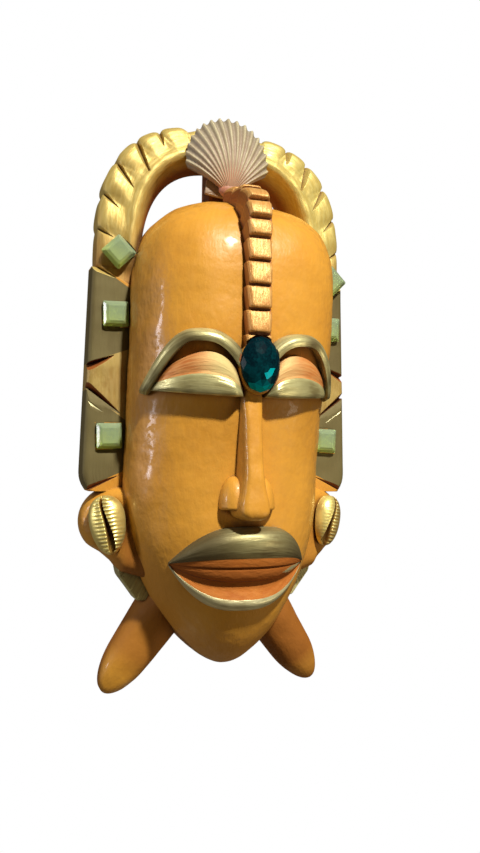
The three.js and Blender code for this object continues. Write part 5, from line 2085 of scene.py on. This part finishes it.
PAINTS = {
    Paint.OCHRE: PaintedWood(
        "ochre_varnish", rgb(208, 149, 54), rgb(194, 133, 45), rgb(216, 160, 64), rgb(150, 92, 28),
        rgb(88, 46, 14), roughness=0.46, coat=0.6, specular=0.3, cloud_size=30, cloud=0.55, streak=0.2,
        stroke_width=1.5, stroke_length=4.5, grime_and_shade=0.85, wear=0.1, relief=0.18, stroke_relief=0.3, dapple=1.0,
    ),
    Paint.GILT: PaintedWood(
        "gilt_paint", rgb(212, 190, 104), rgb(196, 164, 78), rgb(240, 230, 154), rgb(150, 90, 28),
        rgb(104, 58, 14), metallic=0.38, roughness=0.45, cloud_size=13, cloud=0.5, streak=0.35,
        stroke_width=1.2, stroke_length=6, grime_and_shade=0.9, wear=0.5, relief=0.07,
    ),
    Paint.BRONZE: PaintedWood(
        "bronze_paint", rgb(202, 194, 134), rgb(142, 126, 80), rgb(246, 244, 182), rgb(92, 80, 50),
        rgb(56, 42, 24), metallic=0.5, roughness=0.33, cloud_size=12, cloud=0.7, streak=0.4,
        stroke_width=1.0, stroke_length=12, grime_and_shade=0.9, wear=0.45, relief=0.08,
    ),
    Paint.COPPER: PaintedWood(
        "copper_paint", rgb(206, 126, 60), rgb(180, 96, 42), rgb(226, 176, 110), rgb(206, 192, 130),
        rgb(104, 48, 16), metallic=0.25, roughness=0.5, cloud_size=9, cloud=0.55, streak=0.5,
        stroke_width=0.8, stroke_length=9, grime_and_shade=0.8, wear=0.3, relief=0.08,
    ),
    Paint.CREST_GOLD: PaintedWood(
        "crest_gold", rgb(206, 150, 78), rgb(180, 116, 54), rgb(226, 184, 112), rgb(190, 120, 56),
        rgb(112, 58, 20), metallic=0.3, roughness=0.46, cloud_size=6, cloud=0.5, streak=0.5,
        stroke_width=0.9, stroke_length=4, grime_and_shade=0.95, wear=0.6, relief=0.12, dapple=0.8,
    ),
    Paint.UMBER: PaintedWood(
        "umber_wash", rgb(160, 94, 38), rgb(128, 68, 26), rgb(186, 116, 52), rgb(110, 60, 22),
        rgb(66, 32, 10), roughness=0.42, coat=0.15, cloud_size=9, cloud=0.6, streak=0.3,
        stroke_width=1.2, stroke_length=10, grime_and_shade=0.85, wear=0.2, relief=0.08,
    ),
    Paint.RIM_GOLD: PaintedWood(
        "rim_gold", rgb(210, 204, 156), rgb(158, 148, 104), rgb(244, 240, 196), rgb(166, 154, 112),
        rgb(74, 64, 38), metallic=0.5, roughness=0.34, cloud_size=9, cloud=0.65, streak=0.35,
        stroke_width=0.9, stroke_length=10, grime_and_shade=0.8, wear=0.2, relief=0.08,
    ),
    Paint.LIP_ORANGE: PaintedWood(
        "lip_orange", rgb(188, 112, 42), rgb(164, 88, 30), rgb(206, 138, 66), rgb(156, 90, 36),
        rgb(128, 66, 26), roughness=0.55, specular=0.12, cloud_size=8, cloud=0.6, streak=0.35,
        stroke_width=1.1, stroke_length=5, grime_and_shade=0.65, wear=0.1, relief=0.11, dapple=0.9,
    ),
    Paint.DULL_BRONZE: PaintedWood(
        "dull_bronze", rgb(114, 104, 66), rgb(92, 80, 48), rgb(132, 122, 82), rgb(80, 69, 40),
        rgb(56, 44, 24), metallic=0.2, roughness=0.6, specular=0.25, cloud_size=24, cloud=0.7, streak=0.15,
        stroke_width=1.6, stroke_length=14, grime_and_shade=0.8, wear=0.35, relief=0.05,
    ),
    Paint.OLD_GOLD: PaintedWood(
        "old_gold", rgb(182, 156, 84), rgb(154, 120, 56), rgb(198, 176, 112), rgb(128, 96, 48),
        rgb(70, 46, 18), metallic=0.2, roughness=0.46, cloud_size=11, cloud=0.7, streak=0.3,
        stroke_width=1.4, stroke_length=8, grime_and_shade=0.85, wear=0.35, relief=0.08,
    ),
    Paint.BARE_WOOD: PaintedWood(
        "bare_wood", rgb(182, 134, 86), rgb(150, 104, 62), rgb(206, 164, 116), rgb(150, 104, 62),
        rgb(96, 62, 34), roughness=0.62, cloud_size=24, cloud=0.5, streak=0.5, stroke_width=0.8,
        stroke_length=30, grime_and_shade=0.6, wear=0.1, relief=0.12,
    ),
}


@dataclass(frozen=True)
class CarvedMask:
    """The whole carving: every form joined into one piece, then seated, hollowed and cut flat behind."""

    head: Head
    headdress: Headdress
    limbs: EarsAndLegs
    seats: GemSeats

    def forms(self) -> list[Skin]:
        """Everything that is joined to the head apart from the headdress.

        Returns:
            The skins.
        """
        eyes, nose = EyesAndBrows(self.head), Nose()
        skins = [*Crest(self.head).skins(), self.seats.pad(), nose.bar(), Mouth(self.head).lips()]
        skins.append(self.headdress.post())
        for side in SIDES:
            skins += [self.limbs.lobe(side), self.limbs.cheek_block(side), self.limbs.leg(side)]
            skins += [eyes.brow(side), eyes.lid(side), nose.wing(side)]
        return skins

    def back_stock(self) -> Skin:
        """The slab behind the wall plane that is cut away."""
        outline = np.array([[-90.0, -150.0], [90.0, -150.0], [90.0, 150.0], [-90.0, 150.0]])
        return loft(prism(outline, (0.0, 30.0)), Paint.BARE_WOOD)

    def make(self, materials: list[Material]) -> Object:
        """Joins and cuts the forms and dresses the result.

        Args:
            materials: the paints, in their order.

        Returns:
            The piece.
        """

        def tools(skins: list[Skin]) -> list[Object]:
            """The skins as objects that a carving step uses up."""
            return [make_object(f"form_{i}", skin, materials) for i, skin in enumerate(skins)]

        crown = make_object("headdress", self.headdress.arch(), materials)
        carve(crown, "UNION", tools([self.headdress.panel(side) for side in SIDES]))
        carve(crown, "DIFFERENCE", tools([*self.headdress.leaf_cuts(), *self.headdress.panel_cuts()]))
        block = self.head.block()
        # the head's tone is painted shade under the brows, on the left jaw and round the chin
        block.tone = EyesAndBrows(self.head).painted_socket_and_jaw_shade(block.points)
        mask = make_object("carved_mask_wood", block, materials)
        carve(mask, "UNION", [crown, *tools(self.forms())])
        carve(mask, "DIFFERENCE", tools([*self.seats.cutters(), self.head.hollow(), self.back_stock()]))
        shade(mask)
        dress(mask, "carved_mask")
        return mask


# Studio


@dataclass(frozen=True)
class Lamp:
    """A soft light: its place, width and height in metres, power in watts, colour and spread in degrees."""

    name: str
    place: Place
    size: tuple[float, float]
    power: float
    colour: Colour
    spread: float
    target: Place = (0.0, -0.03, -0.12)


@dataclass(frozen=True)
class Studio:
    """A plain pale floor, soft lights and the camera at the photograph's viewing angle."""

    floor_height: float = -0.95
    floor_reach: float = 1.5
    surround: float = 0.085
    focal: float = 800.0
    frame_height: float = 853.0
    film: float = 36.0

    def floor(self) -> None:
        """A level pale floor well below the mask, a plain disc of points on circles."""
        turn = whole_turn(96)
        radius = np.array([0.02, 0.5, 1.2, self.floor_reach])[:, None]
        x, y = radius * np.cos(turn), radius * np.sin(turn) - 0.4
        points = points_of(x, y, self.floor_height).reshape(-1, 3)
        index = np.arange(x.size).reshape(x.shape)
        after = np.roll(index, -1, axis=1)
        faces = points_of(index[:-1], index[1:], after[1:], after[:-1]).reshape(-1, 4)
        mesh = bpy.data.meshes.new("floor")
        mesh.from_pydata(points.tolist(), [], [*faces.tolist(), index[0].tolist()])
        material, board, shader = new_material("pale_floor")
        board.set(shader, {"Base Color": (0.74, 0.69, 0.6, 1.0), "Roughness": 0.9})
        mesh.materials.append(material)
        sheet = bpy.data.objects.new("floor", mesh)
        bpy.context.scene.collection.objects.link(sheet)

    def lamp(self, lamp: Lamp) -> None:
        """Hangs a soft rectangular light that faces its target with its long side upright.

        Args:
            lamp: its place, size, power and colour.
        """
        light = bpy.data.lights.new(lamp.name, "AREA")
        light.shape = "RECTANGLE"
        light.size, light.size_y = lamp.size
        light.energy = lamp.power
        light.color = lamp.colour
        light.spread = math.radians(lamp.spread)
        back = np.array(lamp.place) - lamp.target
        back /= np.linalg.norm(back)
        right = np.cross([0.0, 0.0, 1.0], back)
        right /= np.linalg.norm(right)
        self.stand(light, (right, np.cross(back, right), back), lamp.place)

    def stand(self, data: bpy.types.ID, axes: tuple[Array, Array, Array], place: Place) -> Object:
        """Puts a lamp or a camera into the scene.

        Args:
            data: the lamp or camera.
            axes: its own right, up and back in the scene.
            place: where it stands, in metres.

        Returns:
            The object.
        """
        stood = bpy.data.objects.new(data.name, data)
        matrix = np.eye(4)
        matrix[:3, :3] = np.stack(axes, axis=1)
        matrix[:3, 3] = place
        stood.matrix_world = Matrix(matrix.tolist())
        bpy.context.scene.collection.objects.link(stood)
        return stood

    def lights(self) -> None:
        """A warm key above, a cool strip low on the left, a warm bounce from below, and a surround.

        The surround is white to the camera and gives only a faint warm light of its own.
        """
        for lamp in (
            Lamp("key", (0.19, -1.08, 1.01), (0.09, 0.09), 2.25, (1.0, 0.95, 0.86), 45.0),
            Lamp("side_window", (-1.27, 0.12, 0.02), (0.16, 0.5), 0.48, (0.96, 0.93, 1.0), 60.0),
            Lamp("low_bounce", (0.8, -0.75, -0.6), (0.4, 0.4), 0.4, (1.0, 0.84, 0.62), 70.0),
        ):
            self.lamp(lamp)
        world = bpy.data.worlds.new("surround")
        world.use_nodes = True
        ground = world.node_tree.nodes["Background"]
        board = Board(world.node_tree)
        seen = board.add("LightPath").outputs["Is Camera Ray"]
        strength = board.math("ADD", board.math("MULTIPLY", seen, 1.0 - self.surround), self.surround)
        colour = board.mix(seen, (1.0, 0.85, 0.62), (1.0, 1.0, 1.0))
        board.set(ground, {"Strength": strength, "Color": colour})
        bpy.context.scene.world = world

    def camera(self) -> None:
        """The camera, placed and turned as the photograph was taken, with the film's long side upright."""
        right = np.array([0.94583787, -0.32423533, 0.01619158])
        down = np.array([0.0271124, 0.02919242, -0.99920604])
        forward = np.array([0.32350523, 0.94552591, 0.03640209])
        data = bpy.data.cameras.new("camera")
        data.sensor_width = self.film
        data.sensor_fit = "AUTO"
        data.lens = self.film * self.focal / self.frame_height
        data.clip_start = 0.01
        data.dof.use_dof = False
        place = (-0.11497, -0.37674, -0.14685)
        bpy.context.scene.camera = self.stand(data, (right, -down, -forward), place)

    def set_up(self) -> None:
        """Floor, lights, camera and plain colour management."""
        self.floor()
        self.lights()
        self.camera()
        bpy.context.scene.view_settings.view_transform = "Standard"


def main() -> None:
    """Builds the mask, its ornaments and the studio in order."""
    logging.basicConfig(level=logging.INFO, format="%(name)s: %(message)s")
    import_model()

    effects = Effects.build()
    limbs, seats = EarsAndLegs(), GemSeats()
    CarvedMask(Head(), Headdress(), limbs, seats).make([PAINTS[paint].material(effects) for paint in Paint])

    pale = CutGlass(
        "pale_green_cut_glass", rgb(176, 198, 158), rgb(228, 250, 140), 0.5, 0.08, unevenness=0.1
    ).material(effects)
    for place in SQUARE_GEMS:
        SquareStone().make(place, pale)
    teal = CutGlass(
        "teal_cut_glass", rgb(4, 24, 32), rgb(0, 180, 190), 0.1, 0.22, specular=0.0, cloud=0.1,
        unevenness=0.01,
    ).material(effects)
    OvalStone(seats).make(teal)

    gold_shell = ShellFinish(
        "gilded_cowrie", rgb(50, 26, 8), rgb(184, 146, 68), rgb(248, 228, 132), rgb(250, 240, 164),
        rgb(120, 72, 26), metallic=0.55, roughness=0.36, middle_at=0.45,
    ).material(effects)
    for node, side, x, z, tilt, size in (
        ("cowrie_left", -1.0, 53.0, -53.6, 9.0, 0.98),
        ("cowrie_right", 1.0, 50.9, -52.6, 10.0, 0.9),
    ):
        Cowrie(node, side, x, z, tilt, size, limbs).make(gold_shell)
    pink_shell = ShellFinish(
        "scallop_shell_finish", rgb(190, 104, 80), rgb(166, 142, 120), rgb(148, 140, 120), rgb(184, 174, 142),
        rgb(138, 114, 94), metallic=0.0, roughness=0.5, middle_at=0.42,
    ).material(effects)
    Scallop().make(pink_shell)

    Studio().set_up()


if __name__ == "__main__":
    main()
